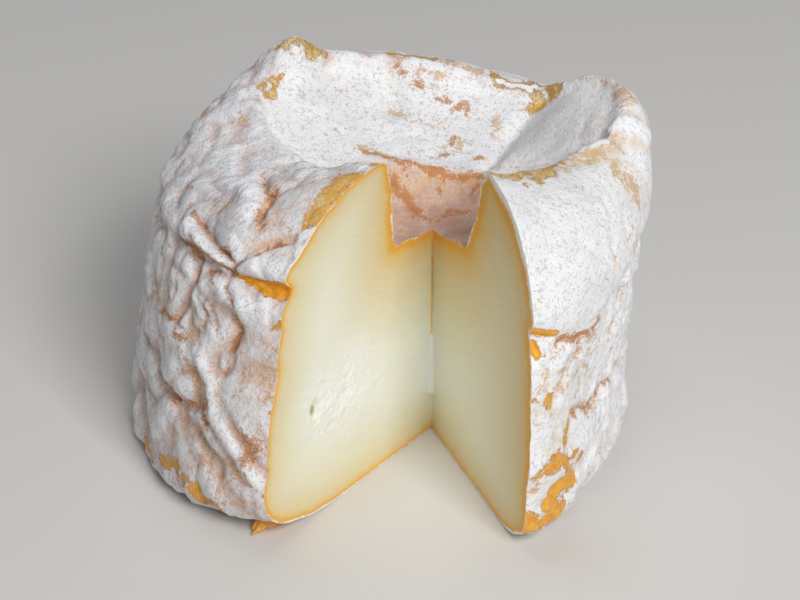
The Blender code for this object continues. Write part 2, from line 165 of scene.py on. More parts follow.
# Rows of the mesh in each part of the profile, and its columns, which stand closer beside the cuts.
ROWS = (8, 12, 56, 54, 8, 36, 16, 8)
ROWS_CLOSE_IN = 1.4
LINE_POINTS = 12  # for each point given
COLUMNS = 410
COLUMNS_UP_TO = ((0, RIGHT), (0.2, -10), (0.72, 182), (1, LEFT))  # share of the columns, azimuth
SHARP_ANGLE = np.radians(50)

# The finest folds of the skin, which the solid leaves out: their size, how much they wander, what height
# counts as level, the direction and length that they are drawn out by, the crumples on them, and how high
# they are.
FOLDLET_SIZE, FOLDLET_WARP, FOLDLET_TOP = 2.4, 3.0, 0.6
FOLDLETS_ALONG, FOLDLETS_LONGER = Vector((0.5, -0.55, -0.67)), 2.0
CRUMPLE_SIZE, CRUMPLE = 1.1, 0.2
FOLDLETS_BELOW = ((RIGHT, 0.16), (-50, 0.26), (60, 0.3), (215, 0.28), (LEFT, 0.14))
FOLDLETS_ABOVE = ((RIGHT, 0.06), (0, 0.12), (60, 0.2), (150, 0.24), (215, 0.22), (LEFT, 0.1))
FOLDLETS_IN_BOWL = 0.08

# Fine creases, brown inside: depth, half width in the relief and in the colour, and the length over which
# they come and go. Each is (how strong it is, then the azimuth and place of each point on its line).
CREASE_DEPTH, CREASE_WIDTH, CREASE_STAIN = 0.42, 0.42, 0.45
CREASE_BREAKS = 3.0
CREASES = (
    (1, 193, 3.4, 199, 3.38, 203, 3.37, 208, 3.34, 213, 3.31, 217, 3.28),
    (0.9, 218, 3.2, 218, 3.26, 220, 3.29, 222, 3.32, 222, 3.38, 224, 3.42, 229, 3.46),
    (0.9, 188, 3.78, 196, 3.74, 203, 3.71, 210, 3.66), (0.7, 210, 3.66, 213, 3.56, 217, 3.5),
    (0.9, 194, 3.22, 200, 3.25, 205, 3.26, 211, 3.23, 218, 3.19),
    (0.5, 192, 3.28, 192, 3.17, 195, 2.94, 199, 2.86),
    (0.8, 217, 3.11, 220, 3.06, 222, 3, 222, 2.93, 222, 2.85, 221, 2.78),
    (0.7, 209, 3.03, 213, 2.98, 216, 2.92, 217, 2.84),
    (0.9, 193, 2.74, 195, 2.77, 198, 2.8, 203, 2.81, 206, 2.8),
    (0.6, 204, 3.19, 206, 3.06, 204, 2.9, 203, 2.83), (0.5, 198, 3.12, 200, 2.98, 200, 2.88),
    (0.8, 203, 2.43, 205, 2.4, 208, 2.37, 211, 2.4, 214, 2.43, 217, 2.36),
    (0.7, 219, 2.76, 220, 2.71, 221, 2.68, 220, 2.64), (0.5, 210, 2.72, 213, 2.55, 212, 2.46),
    (0.4, 213, 2.33, 220, 2.2, 227, 2), (0.5, 218, 2.36, 225, 2.2, 229, 2.1), (0.4, 209, 2.24, 217, 2.07),
    (0.5, 232, 3.11, 230, 3.03, 231, 2.97), (0.9, -61, 2.84, -55, 2.83, -48, 2.81, -43, 2.8),
    (0.7, -52, 2.78, -51, 2.73, -50, 2.67),
    (0.9, -53, 2.43, -46, 2.4, -39, 2.35, -33, 2.36, -28, 2.37, -20, 2.38),
    (0.4, -59, 2.61, -54, 2.59, -46, 2.52, -50, 2.5, -56, 2.49),
    (0.4, 106, 5.12, 102, 5.18, 97, 5.17, 90, 5.17),
    (0.7, 133, 6.5, 127, 6.61, 121, 6.89, 115, 7.33, 96, 7.44, 73, 7.5, 45, 7.4, 23, 7.1),
    (0.4, 150, 7.2, 130, 7.5, 60, 7.75),
)

# Where the bare orange rind shows: (half width, then the azimuth and place of each point on its line).
BARE = (
    (1.7, 182, 3.47), (0.5, 204, 3.27, 209, 3.25, 215, 3.21), (0.5, 228, 2.34, 229, 2.3, 229, 2.24),
    (0.9, 230, 2.17, LEFT, 2.08), (0.7, LEFT, 2.97, 231, 2.94), (0.6, LEFT, 2.54, 232, 2.52),
    (2.2, 228, 1.05, 228, 1.45), (1.3, 202, 2, 205, 2.04, 208, 2.04), (1.1, 211, 2, 212, 1.89),
    (1.5, 214, 2, 215, 1.89, 216, 1.78, 220, 1.78), (1.1, 189, 1.89, 193, 1.89, 196, 1.78),
    (0.6, -64, 2.82), (0.7, -64, 2.64, -63, 2.59), (0.6, RIGHT, 2.65, -67, 2.62),
    (0.9, -55, 2.41, -56, 2.37, -56, 2.28, -56, 2.22), (1.7, -65, 2.24, -62, 2.25, -60, 2.27, -58, 2.24),
    (1.2, -58, 2.23, -55, 2.21, -52, 2.21, -48, 2.2),
    (1.8, -61, 2.05, -59, 2.09, -55, 2.12, -53, 2.12, -52, 2.08), (1.8, -59, 2.04, -61, 1.98, -61, 1.9),
    (1.8, -68, 2, -65, 1.9, -61, 1.89, -57, 1.89), (1.1, RIGHT, 1.78, -65, 1.78),
    (1.1, 33, 2.06, 38, 2.12, 44, 2.08), (1.7, 66, 1.9, 72, 2, 80, 2.04, 84, 1.98),
    (0.9, 96, 2.2, 98, 2.14), (1.5, 121, 1.95, 127, 2.03, 134, 2), (1.2, 152, 2, 158, 2.07, 166, 2.02),
    (0.8, 52, 2.56, 53, 2.5), (0.9, 111, 2.74, 114, 2.7), (0.8, 145, 2.5, 147, 2.43, 150, 2.4),
)
# The same, but moist and wholly clean, where the long fold opens.
GAPS = (
    (1.35, LEFT, 3.175, 231, 3.17), (1.1, 231, 3.17, 228, 3.165), (0.85, 228, 3.165, 225, 3.17),
    (0.55, 225, 3.17, 222, 3.18), (0.3, 222, 3.18, 218, 3.2), (0.7, RIGHT, 2.95, -65, 2.93, -62, 2.9),
    (0.7, RIGHT, 2.88, -67, 2.83), (0.6, 22, 2.9, 30, 2.95), (0.5, 82, 2.93, 90, 2.955, 97, 3),
    (0.5, 150, 3.03, 160, 3.065),
)
# Where it is yellow and translucent, or ochre and dry, under the edge of the top.
AMBER = (
    (3, 233, 3.58, 231, 3.67, 230, 3.76, 229, 3.83), (0.7, 207, 4, 214, 4, 222, 4, 228, 3.98),
    (1.2, LEFT, 3.97, LEFT, 4.6), (1.5, 72, 3.9, 65, 3.98, 57, 3.98, 50, 3.95),
    (1.6, 57, 4.2, 56, 4.44, 56, 4.7), (1.5, RIGHT, 3.98, -58, 3.98, -47, 3.99),
    (1.5, -47, 3.99, -38, 4, -28, 4, -18, 3.99), (0.9, -51, 3.84, -45, 3.87), (1.2, -40, 3.91, -30, 3.88),
    (0.8, 145, 3.96, 142, 4.11, 138, 4.33, 136, 4.4), (0.7, 144, 4.42, 140, 4.54, 138, 4.56),
    (1.3, 132, 3.97, 128, 3.95, 124, 3.96, 120, 3.96), (1.3, 100, 3.8, 94, 3.86, 90, 3.84),
)
# Blotches and cracks where the white is stained.
STAINED = (
    (1.6, 130, 5.79, 126, 5.88, 123, 6, 116, 6.11, 97, 6.17, 68, 6.22, 44, 6.17),
    (2.2, 133, 6.4, 127, 6.5, 123, 6.7, 119, 7), (1.3, 115, 7.33, 96, 7.44, 73, 7.56),
    (1.8, 60, 6.3, 50, 6.4), (0.9, 106, 5.33, 102, 5.32, 100, 5.29), (0.9, 130, 5.54, 127, 5.54),
    (0.9, 137, 5.5, 138, 5.62, 140, 5.67), (0.8, 114, 5.54, 111, 5.54), (0.8, 121, 5.12, 118, 5.12),
    (1.3, 66, 5.17, 64, 5.25, 63, 5.33), (1.4, 77, 5.6, 74, 5.67, 83, 5.79),
    (1.3, 96, 4.95, 91, 5, 88, 4.93), (1, 88, 5.85, 93, 5.75, 84, 5.7), (0.9, 60, 5.75, 52, 5.79),
    (1, 86, 3.76, 81, 3.8, 74, 3.88), (1.1, 99, 4.3, 93, 4.35, 86, 4.3, 80, 4.3), (0.9, 88, 4.6, 84, 4.66),
    (1, 144, 4.67, 148, 4.89, 151, 5), (1.1, 158, 3.84, 163, 3.9), (1, 134, 3.82, 131, 3.86, 126, 3.8),
    (0.9, 229, 3.03, 231, 3.01), (1.3, 225, 2.63, 224, 2.57, 226, 2.54, 228, 2.54),
    (1.1, 231, 2.59, 232, 2.65, 229, 2.68, 226, 2.68), (0.9, 220, 2.42, 221, 2.42),
    (2, 226, 2.42, 229, 2.36, 231, 2.3), (1.8, 225, 2.25, 228, 2.1), (1.3, 222, 2, 226, 1.9, 229, 1.8),
    (1.4, 196, 3.68, 196, 3.72), (1.3, 206, 3.62, 212, 3.6), (1, 196, 3.21, 193, 3.3, 188, 3.42),
    (1.3, 204, 3.12, 206, 3, 205, 2.92), (1.1, 213, 2.93, 216, 2.88, 217, 2.8),
    (1.4, 208, 2.7, 211, 2.62, 212, 2.5), (1.6, 196, 2.66, 193, 2.6), (1.5, 214, 2.2, 218, 2.12, 222, 2.08),
    (1.5, 203, 2.24, 208, 2.18), (1, 226, 3.5, 221, 3.52), (1.3, 228, 3.55, 230, 3.5),
    (0.9, -10, 4, 2, 3.98, 12, 3.93), (1.2, 44, 3.99, 39, 4.05, 32, 4, 24, 3.92, 18, 3.83, 12, 3.72),
    (1.9, 26, 4.24, 21, 4.3), (0.9, 15, 4.3, 11, 4.1),
    (2.4, -46, 3.95, -28, 3.94, -18, 3.92, -6, 3.9, 4, 3.9), (1.5, 101, 3.9, 92, 3.92, 84, 3.9, 76, 3.93),
    (1, -51, 3.87, -45, 3.89), (0.8, -23, 3.85, -16, 3.84), (1.2, -2, 3.88, 0, 3.8, -5, 3.66, -12, 3.55),
    (1, -36, 3.14, -33, 3.07, -37, 3.22), (1, -23, 3.16, -20, 3.25, -16, 3.38),
    (1.4, -9, 3.62, -6, 3.4, -8, 3.25), (1.2, -16, 3.1, -22, 3.03), (0.8, 40, 5.92, 28, 5.79, 18, 5.54),
    (0.8, -66, 2.76, -63, 2.74), (0.9, -59, 2.71, -61, 2.7, -62, 2.67), (0.9, -56, 2.7, -55, 2.65, -54, 2.62),
    (0.8, -59, 2.61, -54, 2.58, -46, 2.52, -53, 2.51, -57, 2.49), (1.3, -47, 2.3, -40, 2.22, -35, 2.2),
    (1, -65, 2.23, -66, 2.18), (0.8, -48, 2.6, -40, 2.56), (1.2, -35, 2.62, -28, 2.7),
    (2.4, 30, 2.6, 38, 2.45, 45, 2.4), (2, 62, 2.75, 68, 2.6, 66, 2.45), (2.2, 88, 2.4, 94, 2.55, 101, 2.6),
    (2.6, 118, 2.35, 126, 2.45, 132, 2.7), (2.2, 156, 2.75, 161, 2.6, 160, 2.4),
    (1.8, 174, 2.8, 178, 2.6, 176, 2.4), (1.6, 46, 3.4, 54, 3.5, 62, 3.5),
    (1.8, 104, 3.5, 112, 3.56, 119, 3.5), (1.6, 146, 3.4, 153, 3.5, 160, 3.6),
)
# The redder ones of them, in the creases, on the bowl's far side and round the pit.
REDDENED = (
    (0.9, 211, 3.14, 213, 3.13, 215, 3.11), (0.9, 195, 2.77, 197, 2.8, 202, 2.81),
    (0.9, 204, 2.78, 206, 2.75), (0.7, 196, 3.21, 200, 3.24, 205, 3.25, 211, 3.22, 216, 3.19),
    (0.7, 194, 3.26, 194, 3.22), (0.5, 222, 3.38, 220, 3.29, 218, 3.22, 218, 3.19),
    (0.4, 228, 3.46, 225, 3.44, 222, 3.4), (0.7, 213, 3.55, 215, 3.52, 217, 3.5),
    (0.7, 211, 3.64, 210, 3.67, 206, 3.7), (0.6, 216, 3.29, 213, 3.31, 209, 3.34),
    (0.6, 222, 2.95, 222, 2.86, 221, 2.78), (0.8, 203, 2.43, 205, 2.4, 208, 2.37, 211, 2.4),
    (0.7, 214, 2.43, 217, 2.36), (0.8, 182, 3.2, 180, 3.19), (0.8, 204, 3.7, 208, 3.67, 212, 3.57),
    (0.7, 200, 3.27, 206, 3.27, 212, 3.23, 215, 3.21), (1.5, 228, 2.38, 230, 2.34, 230, 2.28, 229, 2.22),
    (1.6, 133, 6.5, 127, 6.61, 121, 6.89, 118, 7.11, 115, 7.33), (1, 115, 7.33, 96, 7.44, 73, 7.56),
    (0.8, 116, 7.56, 86, 7.33, 63, 7.33, 43, 7.33, 23, 7.11), (0.7, 80, 6.44, 85, 6.39),
    (0.7, 43, 6.33, 42, 6.5), (1.2, 133, 5.86, 127, 5.94, 122, 6.02),
    (1, 86, 5.08, 83, 5.08, 81, 5.12, 83, 5.21), (0.9, 79, 5.08, 76, 5.08, 76, 5.17),
    (1.4, 94, 4.89, 95, 4.87), (0.7, 98, 4.56, 99, 4.5),
    (1.2, 123, 6.03, 116, 6.11, 110, 6.17, 97, 6.17, 84, 6.17, 68, 6.2, 52, 6.22),
    (0.6, 85, 5.83, 81, 5.71, 79, 5.56), (0.6, 60, 5.75, 58, 5.88),
    (0.8, -61, 2.84, -58, 2.84, -52, 2.82, -48, 2.81, -43, 2.8), (0.6, -52, 2.78, -51, 2.73, -50, 2.67),
    (0.6, -52, 2.43, -43, 2.37, -36, 2.36, -28, 2.37, -21, 2.38), (0.8, 10, 2.9, 20, 2.89, 30, 2.96),
    (0.7, 56, 2.96, 68, 2.9, 80, 2.92), (0.8, 100, 3.02, 112, 3.07, 120, 3.1),
    (0.8, 150, 3.03, 158, 3.06, 168, 3.1), (0.7, 36, 2.5, 42, 2.42, 50, 2.42),
    (0.7, 90, 2.5, 96, 2.56, 99, 2.5), (0.7, 124, 2.6, 128, 2.5, 134, 2.52),
    (0.7, 160, 2.5, 166, 2.42, 172, 2.45),
)
# Thick white powder, laid over all else, along the left cut's upper edge and once on the far rim.
POWDERED = (
    (1.1, LEFT, 3.28, LEFT, 3.42, 233, 3.5), (1, 231, 3.92, 228, 3.94), (0.8, 228, 3.06, 224, 3.02),
    (1, 69, 3.94, 62, 3.99, 57, 4.06),
)
# How much of the skin is stained where a mark says so, then how much is stained, and bare at the foot up to
# about this height, where none does: shares from 0 to 1.
STAIN_MARKED = 0.88
STAIN_BELOW = ((RIGHT, 0.46), (-45, 0.42), (-30, 0.32), (60, 0.34), (190, 0.42), (LEFT, 0.46))
STAIN_ABOVE = ((RIGHT, 0.05), (0, 0.16), (60, 0.22), (190, 0.28), (LEFT, 0.3))
STAIN_IN_BOWL = ((RIGHT, 0.2), (35, 0.15), (58, 0.27), (90, 0.31), (125, 0.23), (150, 0.18), (LEFT, 0.2))
STAIN_IN_PIT = 0.6
BARE_FOOT = ((RIGHT, 0.5), (-40, 0.4), (60, 0.36), (195, 0.42), (LEFT, 0.45))
BARE_FOOT_UP = 2.6
# Painted shade: grey laid over the white on the smooth slope at the right of the bowl, which faces away from
# the light, and in hollows high on the left side.
PAINTED_SHADE_MARKS = (
    (6.5, 35, 5.4, 20, 5.4, 0, 5.5, -40, 5.6), (3.4, 188, 3.42, 193, 3.5, 198, 3.5),
    (2.6, 213, 3.62, 219, 3.62), (2.2, 204, 3.44, 208, 3.42),
)
# Where it has a blush all over.
BLUSHING = (
    (8, 224, 2.8, 226, 2.4, 226, 2.2), (6, 204, 2.9, 200, 2.7), (5, 212, 2.5, 210, 2.2),
    (5, 222, 3.5, 214, 3.7), (5, -62, 2.5, -58, 2.2), (6, -5, 3.8, 5, 3.6),
    (6, 12, 3.6, 18, 3.9, 22, 4.3), (7, 36, 2.4, 50, 2.6), (7, 92, 2.5, 104, 2.3),
    (7, 140, 2.6, 150, 2.3), (6, 110, 3.6, 120, 3.6),
)
# The marks' outlines wander by so much, over this size, and those of gaps and creases by a share of that.
WOBBLE_SIZE, WOBBLE, GAP_WOBBLE, CREASE_WOBBLE = 2.6, 1.6, 0.2, 0.3
GAP_FIRMNESS, AMBER_FIRMNESS = 1.8, 1.05
# The pit's colours come in from this place on, over this much of a place.
PIT_FROM, PIT_OVER = 5.9, 0.4
# A crest is relief that stands out from its mean over so many cells: a whole one at this height.
CREST_CELLS, CREST_HEIGHT, CREST_LESS_IN_BOWL = 4, 0.5, 0.6
BLUR_REACH = 3
# How much of the finer colours and relief comes out, from the smooth right side to the coarse left one.
COARSE = ((RIGHT, 0.2), (-20, 0.3), (60, 0.7), (180, 1), (LEFT, 1))

# The paste of the cuts. At each place the white crust is this thick, on the right cut and on the left.
# Below 0 none shows. Then comes the orange rind, in whose thickness the paste's depths are counted.
CRUST_RIGHT = (
    (0, 0.1), (1.5, 0.15), (2, -0.2), (2.9, -0.1), (3.1, 0.35), (3.4, 0.75), (3.9, 0.8), (4.05, 0.4),
    (4.3, 0), (5.8, -0.3), (6.4, -0.3), (7, -0.65), (8, -0.65),
)
CRUST_LEFT = (
    (0, 0.1), (1.5, 0.15), (1.9, -0.2), (3.2, -0.1), (3.3, 0.2), (3.45, 0.2), (3.6, -0.05), (4.2, -0.1),
    (5.8, -0.2), (6.5, -0.2), (7, -0.5), (8, -0.5),
)
RIND_RIGHT = (
    (0, 0.55), (1, 0.7), (1.8, 1), (2.2, 1.3), (3, 1.5), (3.6, 1.7), (4, 1.7), (5, 1.8), (6, 2), (7, 2),
    (8, 1.6),
)
RIND_LEFT = (
    (0, 0.5), (1, 0.6), (1.8, 0.65), (2.2, 0.5), (3, 0.5), (3.3, 0.45), (3.9, 0.5), (4.2, 0.8), (5, 1),
    (6, 1.2), (7, 1.6), (8, 1.5),
)
# Between these distances the depth passes over from the nearest of the rind to all of it.
DEPTH_BLENDS, NEAREST = (0.8, 3.5), 0.01
# A cut's points stand this far apart, from one (r, z) to another, moved about by up to this share of that and
# no closer to the outline than this share.
PASTE_GRAIN, PASTE_FROM, PASTE_UP_TO, PASTE_JITTER, PASTE_MARGIN = 0.5, (1.5, 0.2), (50, 60), 0.3, 0.5
PASTE_SEED = 4
# What Blender's triangulation keeps, and how close two points count as one.
INSIDE_ONLY, SAME_POINT = 1, 1e-6
# Beside the corner they stand in rows at these radii, between these heights, and may come this close to it.
BESIDE_CORNER, BESIDE_HEIGHTS, BESIDE_MARGIN = (0.25, 0.5, 0.75, 1.0, 1.25), (0.4, 40), 0.2
# The cuts are uneven by so much, over this size. The two noises of a cut are slices at these depths.
UNEVEN_SIZE, UNEVEN, UNEVEN_SLICE, CRUMB_SLICE = 7.0, 0.12, 9.0, 5.0
# On the left cut the middle is chalky and crumbles: (middle, half widths), then its pits and lumps as
# (height, middle, half widths). The right cut has only a share of the chalk.
CHALK, CHALK_AT_RIGHT = ((21.0, 18.0), (11.0, 8.0)), 0.3
CRUMBS = (
    (-0.9, (28.1, 17.6), (0.75, 1.3)),
    (-0.2, (21.6, 17.3), (1.3, 0.5)),
    (-0.15, (24.6, 13.7), (0.9, 0.5)),
    (0.2, (25.2, 17.2), (1.6, 1.1)),
    (0.15, (22.5, 14.6), (1.5, 0.9)),
)
# The corners of the patch where the mesh is finer for them, and its grain there.
CRUMBLED, CRUMB_GRAIN = ((19.0, 12.0), (30.5, 20.0)), 0.22
# The crumbs' size and height, how dark the shade painted in their pits is, and how the crumbs come in with
# the chalk.
CRUMB_SIZE, CRUMB, CRUMB_SHADE, CRUMBS_IN = 0.9, 0.12, 1.9, (1.6, -0.4)
# A thin web of paste left in the corner where the cuts meet: (height, how far it stands out).
WEB = ((0, 0.1), (4, 0.25), (6.2, 0.3), (7.0, 1.1), (9, 0.95), (15, 0.6), (22, 0.25), (25, 0.05), (40, 0.0))
# Above this height the line of the corner is stained like paste so deep under the rind.
CORNER_STAINED, CORNER_DEEP, CORNER_WIDTH = 17.0, 1.2, 0.3

# Colours of the skin: the white bloom, what shows through it (also painted shade in the hollows), its stains,
# and the rind below.
BLOOM, BLOOM_THIN_AND_SHADED, BLOOM_COOL = (0.94, 0.935, 0.94, 1), (0.72, 0.62, 0.6, 1), (0.84, 0.86, 0.92, 1)
# The first of these is painted shade, a grey for the places the light misses; the others are the skin's own.
BLOOM_PAINTED_SHADE, BLOOM_IN_PIT, PORE = (0.64, 0.63, 0.66, 1), (0.6, 0.35, 0.27, 1), (0.42, 0.27, 0.17, 1)
SALMON, OCHRE = (0.72, 0.35, 0.16, 1), (0.7, 0.43, 0.18, 1)
RUST, CREASE = (0.62, 0.23, 0.06, 1), (0.5, 0.22, 0.08, 1)
ORANGE, ORANGE_DEEP, YELLOW = (0.96, 0.47, 0.035, 1), (0.86, 0.34, 0.015, 1), (0.84, 0.48, 0.1, 1)
CREAM, POWDER = (0.86, 0.67, 0.36, 1), (0.94, 0.93, 0.91, 1)
DRY, PALE = (0.66, 0.38, 0.09, 1), (0.86, 0.64, 0.28, 1)
BLUSH, BEIGE = (0.8, 0.55, 0.42, 1), (0.78, 0.66, 0.46, 1)
# The paste's colours from the rind inwards, by how many rind thicknesses deep, up to the deepest.
PASTE_DEEPEST = 30.0
PASTE = (
    (0.0, (0.9, 0.91, 0.87, 1)),
    (0.007, (0.88, 0.86, 0.76, 1)),
    (0.014, (0.85, 0.41, 0.04, 1)),
    (0.028, (0.83, 0.44, 0.06, 1)),
    (0.052, (0.79, 0.57, 0.23, 1)),
    (0.11, (0.78, 0.67, 0.41, 1)),
    (0.28, (0.81, 0.77, 0.56, 1)),
    (0.55, (0.86, 0.86, 0.74, 1)),
    (1.0, (0.89, 0.9, 0.84, 1)),
)
# The chalky paste, then painted shade for the pits among the crumbs.
CHALKY, PAINTED_PIT_SHADE = (0.9, 0.91, 0.85, 1), (0.45, 0.42, 0.25, 1)
# The grains of the skin and of the paste: size, detail, roughness, seed. The streaks of the bloom and the
# smears of the knife are also drawn out: rotation, scale.
CLOUD, BLOTCH, SPECK, FLECK = (6,), (2.4, 6, 0.65, 3), (0.7, 4, 0.65, 7), (0.3, 3, 0.65, 11)
MOTTLE, STREAKS = (1.6, 4, 0.6, 5), (0.8, 3, 0.6, 13, ((0.5, 0.6, 0.8), (1, 1, 5)))
PASTE_CLOUD, PASTE_BLOTCH, PASTE_SPECK = (7, 2), (1.4, 4, 0.6, 2), (0.4, 3, 0.6, 4)
SMEAR = (0.8, 3, 0.5, 6, ((0.0, 0.5, 0.9), (6, 1, 1)))
PORE_SIZE = 0.8
# How high the powder and the smears stand, and how far light goes into the skin and the paste.
POWDER_HEIGHT, SMEAR_HEIGHT = 0.9, 0.3
SKIN_SCATTER, SKIN_SCATTERS = (1.0, 0.6, 0.4), 0.8
PASTE_SCATTER, PASTE_SCATTERS = (1.0, 0.75, 0.35), 1.4

# The stage. Its lengths are in metres.
FLOOR, FLOOR_DROP, FLOOR_COLOUR, FLOOR_ROUGHNESS = 3.0, 0.0001, (0.72, 0.7, 0.67, 1), 0.7
LOOK_AT = Vector((0, 0, 0.025))
# Each light: name, place, size, power, colour.
LIGHTS = (
    ("key", (0.3, -0.62, 0.58), 0.36, 6.1, (0.985, 0.985, 0.99)),
    ("top", (-0.05, 0.12, 0.75), 0.35, 0.85, (0.95, 0.97, 1.0)),
)
FILL, FILL_COLOUR = 0.18, (0.93, 0.96, 1.0, 1)
CAMERA, LOOKS_DOWN = (0.00222, -0.29011, 0.187), 30.0
LENS, SENSOR, CLIP = 99.0, 36.0, (0.01, 10)


def smoothed(run, spread, reach, **padding):
    """The run, averaged along itself under a bell of this spread, cut off at this reach."""
    weight = np.exp(-0.5 * (np.arange(-reach, reach + 1) / spread) ** 2)
    return np.convolve(np.pad(run, reach, **padding), weight / weight.sum(), mode="valid")


def read_run(pairs, at):
    """The value at each place or azimuth of a run of pairs, straight from one pair to the next."""
    return np.interp(at, *np.array(pairs).T)


def around(pairs, azimuth):
    """The value at each azimuth of a run of (azimuth, value) pairs, with its corners rounded off."""
    steps = np.arange(RIGHT, LEFT + 0.5 * TURN_STEP, TURN_STEP)
    spread = CORNER_ROUNDING / TURN_STEP
    run = smoothed(read_run(pairs, steps), spread, int(CORNER_REACH * spread), **HELD_ENDS)
    return np.interp(azimuth, steps, run)


def either_side(from_fold, azimuth, below, above):
    """The value at each azimuth, of one run of pairs below the long fold and of another above it."""
    return np.where(from_fold > 0, around(above, azimuth)[:, None], around(below, azimuth)[:, None])


def blend(first, second, share):
    return first * (1 - share) + second * share


def ring_radius(ring, azimuth):
    """How far the ring is from the pole at each azimuth."""
    x, y, radius, _ = ring
    angle = np.radians(azimuth)
    along = x * np.cos(angle) + y * np.sin(angle)
    return along + np.sqrt(radius**2 - x * x - y * y + along**2)


def wall_radius(share, azimuth):
    """The smooth wall's radius at a share of the shoulder's height, on a curve through the three rings."""
    rings = (FOOT_RING, BELLY_RING, SHOULDER_RING)
    low, middle, high = (ring[3] for ring in rings)
    foot, belly, shoulder = (ring_radius(ring, azimuth) for ring in rings)
    radius = (
        foot * (share - middle) * (share - high) / ((low - middle) * (low - high))
        + belly * (share - low) * (share - high) / ((middle - low) * (middle - high))
        + shoulder * (share - low) * (share - middle) / ((high - low) * (high - middle))
    )
    for at, at_foot, at_shoulder, width in SLUMPS:
        near = np.exp(-0.5 * ((azimuth - at) / width) ** 2)
        radius += (at_foot + (at_shoulder - at_foot) * share) * near
    return radius


def profiles(azimuth):
    """The smooth profile at each azimuth: a table of radii and one of heights, with SAMPLES steps a place."""
    azimuth = np.asarray(azimuth, float)[:, None]
    t = np.linspace(0, 1, SAMPLES, endpoint=False)[None, :]
    turn = 0.5 * np.pi * t
    swing = 0.5 - 0.5 * np.cos(np.pi * t)
    foot_in, foot_up = around(FOOT_IN, azimuth), around(FOOT_UP, azimuth)
    shoulder_z = around(SHOULDER_HEIGHT, azimuth)
    rim_r, rim_z = around(RIM_RADIUS, azimuth), around(RIM_HEIGHT, azimuth)
    pit_r, pit_z = around(PIT_RADIUS, azimuth), around(PIT_HEIGHT, azimuth)
    floor_r, floor_z = around(FLOOR_RADIUS, azimuth), around(FLOOR_HEIGHT, azimuth)
    lip_r = rim_r - np.minimum(around(LIP_IN, azimuth), LIP_SHARE * (rim_r - pit_r))
    lip_z = rim_z - np.minimum(around(LIP_DOWN, azimuth), LIP_SHARE * (rim_z - pit_z))
    foot_r, shoulder_r = wall_radius(foot_up / shoulder_z, azimuth), wall_radius(1.0, azimuth)
    height = foot_up + (shoulder_z - foot_up) * t
    sag = BOWL_SAG * (lip_r - pit_r) * np.sin(np.pi * t)
    parts = (
        ((foot_r - foot_in) * t, 0 * foot_r * t),
        (foot_r - foot_in * (1 - np.sin(turn)), foot_up * (1 - np.cos(turn))),
        (wall_radius(height / shoulder_z, azimuth), height),
        (rim_r + (shoulder_r - rim_r) * np.cos(turn), shoulder_z + (rim_z - shoulder_z) * np.sin(turn)),
        (lip_r + (rim_r - lip_r) * np.cos(turn), rim_z + (lip_z - rim_z) * np.sin(turn)),
        (lip_r + (pit_r - lip_r) * t, lip_z + (pit_z - lip_z) * t - sag),
        (pit_r + (floor_r - pit_r) * t, pit_z + (floor_z - pit_z) * swing),
        (floor_r * (1 - t), floor_z + (POLE_TOP - floor_z) * swing),
    )
    radii = np.concatenate([part[0] for part in parts] + [0 * foot_r], axis=1)
    heights = np.concatenate([part[1] for part in parts] + [0 * foot_r + POLE_TOP], axis=1)
    bell = (PROFILE_ROUNDING, PROFILE_REACH * PROFILE_ROUNDING)
    return [np.stack([smoothed(run, *bell, **HELD_ENDS) for run in table]) for table in (radii, heights)]


def read_at(table, place):
    """The table's values at places along the profiles: one row of places for all of them, or one for each."""
    place = np.broadcast_to(place, (len(table), np.shape(place)[-1]))
    step = np.clip(place * SAMPLES, 0, PLACES * SAMPLES - JUST_SHORT)
    low = step.astype(int)
    share = step - low
    return blend(np.take_along_axis(table, low, 1), np.take_along_axis(table, low + 1, 1), share)


def upright(azimuth, r, z):
    """Points from the pole, of radii and heights at each azimuth."""
    turn = np.radians(azimuth)[:, None]
    return np.stack((r * np.cos(turn), r * np.sin(turn), z), axis=2)


def wander(point, size):
    """Three smooth noises at a point, to move it about by."""
    point = Vector(point) / size
    return [noise.noise(point + offset) for offset in WANDER_OFFSETS]


def ridged(point):
    """Round lumps between sharp creases, mostly from -0.5 to 1."""
    return RIDGE_GAIN * abs(noise.noise(point)) - RIDGE_SINK


def wrinkle(point):
    """A round lump between sharp creases, as the solid has them."""
    moved = Vector(point) + WRINKLE_WARP * Vector(wander(point, 2 * WRINKLE_SIZE))
    return WRINKLE_GAIN * abs(noise.noise(moved / WRINKLE_SIZE)) ** WRINKLE_SHARP - WRINKLE_SINK


def foldlet(point):
    """The finest folds: ridged, drawn out in one direction, with a crumple on top."""
    point = Vector(point)
    across = point - FOLDLETS_ALONG * point.dot(FOLDLETS_ALONG) * (1 - 1 / FOLDLETS_LONGER)
    moved = across + FOLDLET_WARP * Vector(wander(point, 3 * FOLDLET_SIZE))
    return ridged(moved / FOLDLET_SIZE) + CRUMPLE * ridged(point / CRUMPLE_SIZE)


def each(function, points):
    return np.array([[function(point) for point in column] for column in points])


def smooth_noise(points, size):
    return each(lambda point: noise.noise(Vector(point) / size), points)


def fold_shape(azimuth, from_fold):
    """What the long fold does to the skin, outwards and along it, at a distance above the fold's line."""
    depth = around(FOLD_DEPTH, azimuth)[:, None]
    width = np.where(from_fold > 0, FOLD_ABOVE, FOLD_BELOW)
    share, above, half = FOLD_LAP
    groove = np.exp(-((from_fold / width) ** 2))
    lap = share * np.exp(-(((from_fold - above) / half) ** 2))
    return depth * (lap - groove), depth * FOLD_UNDERCUT * groove


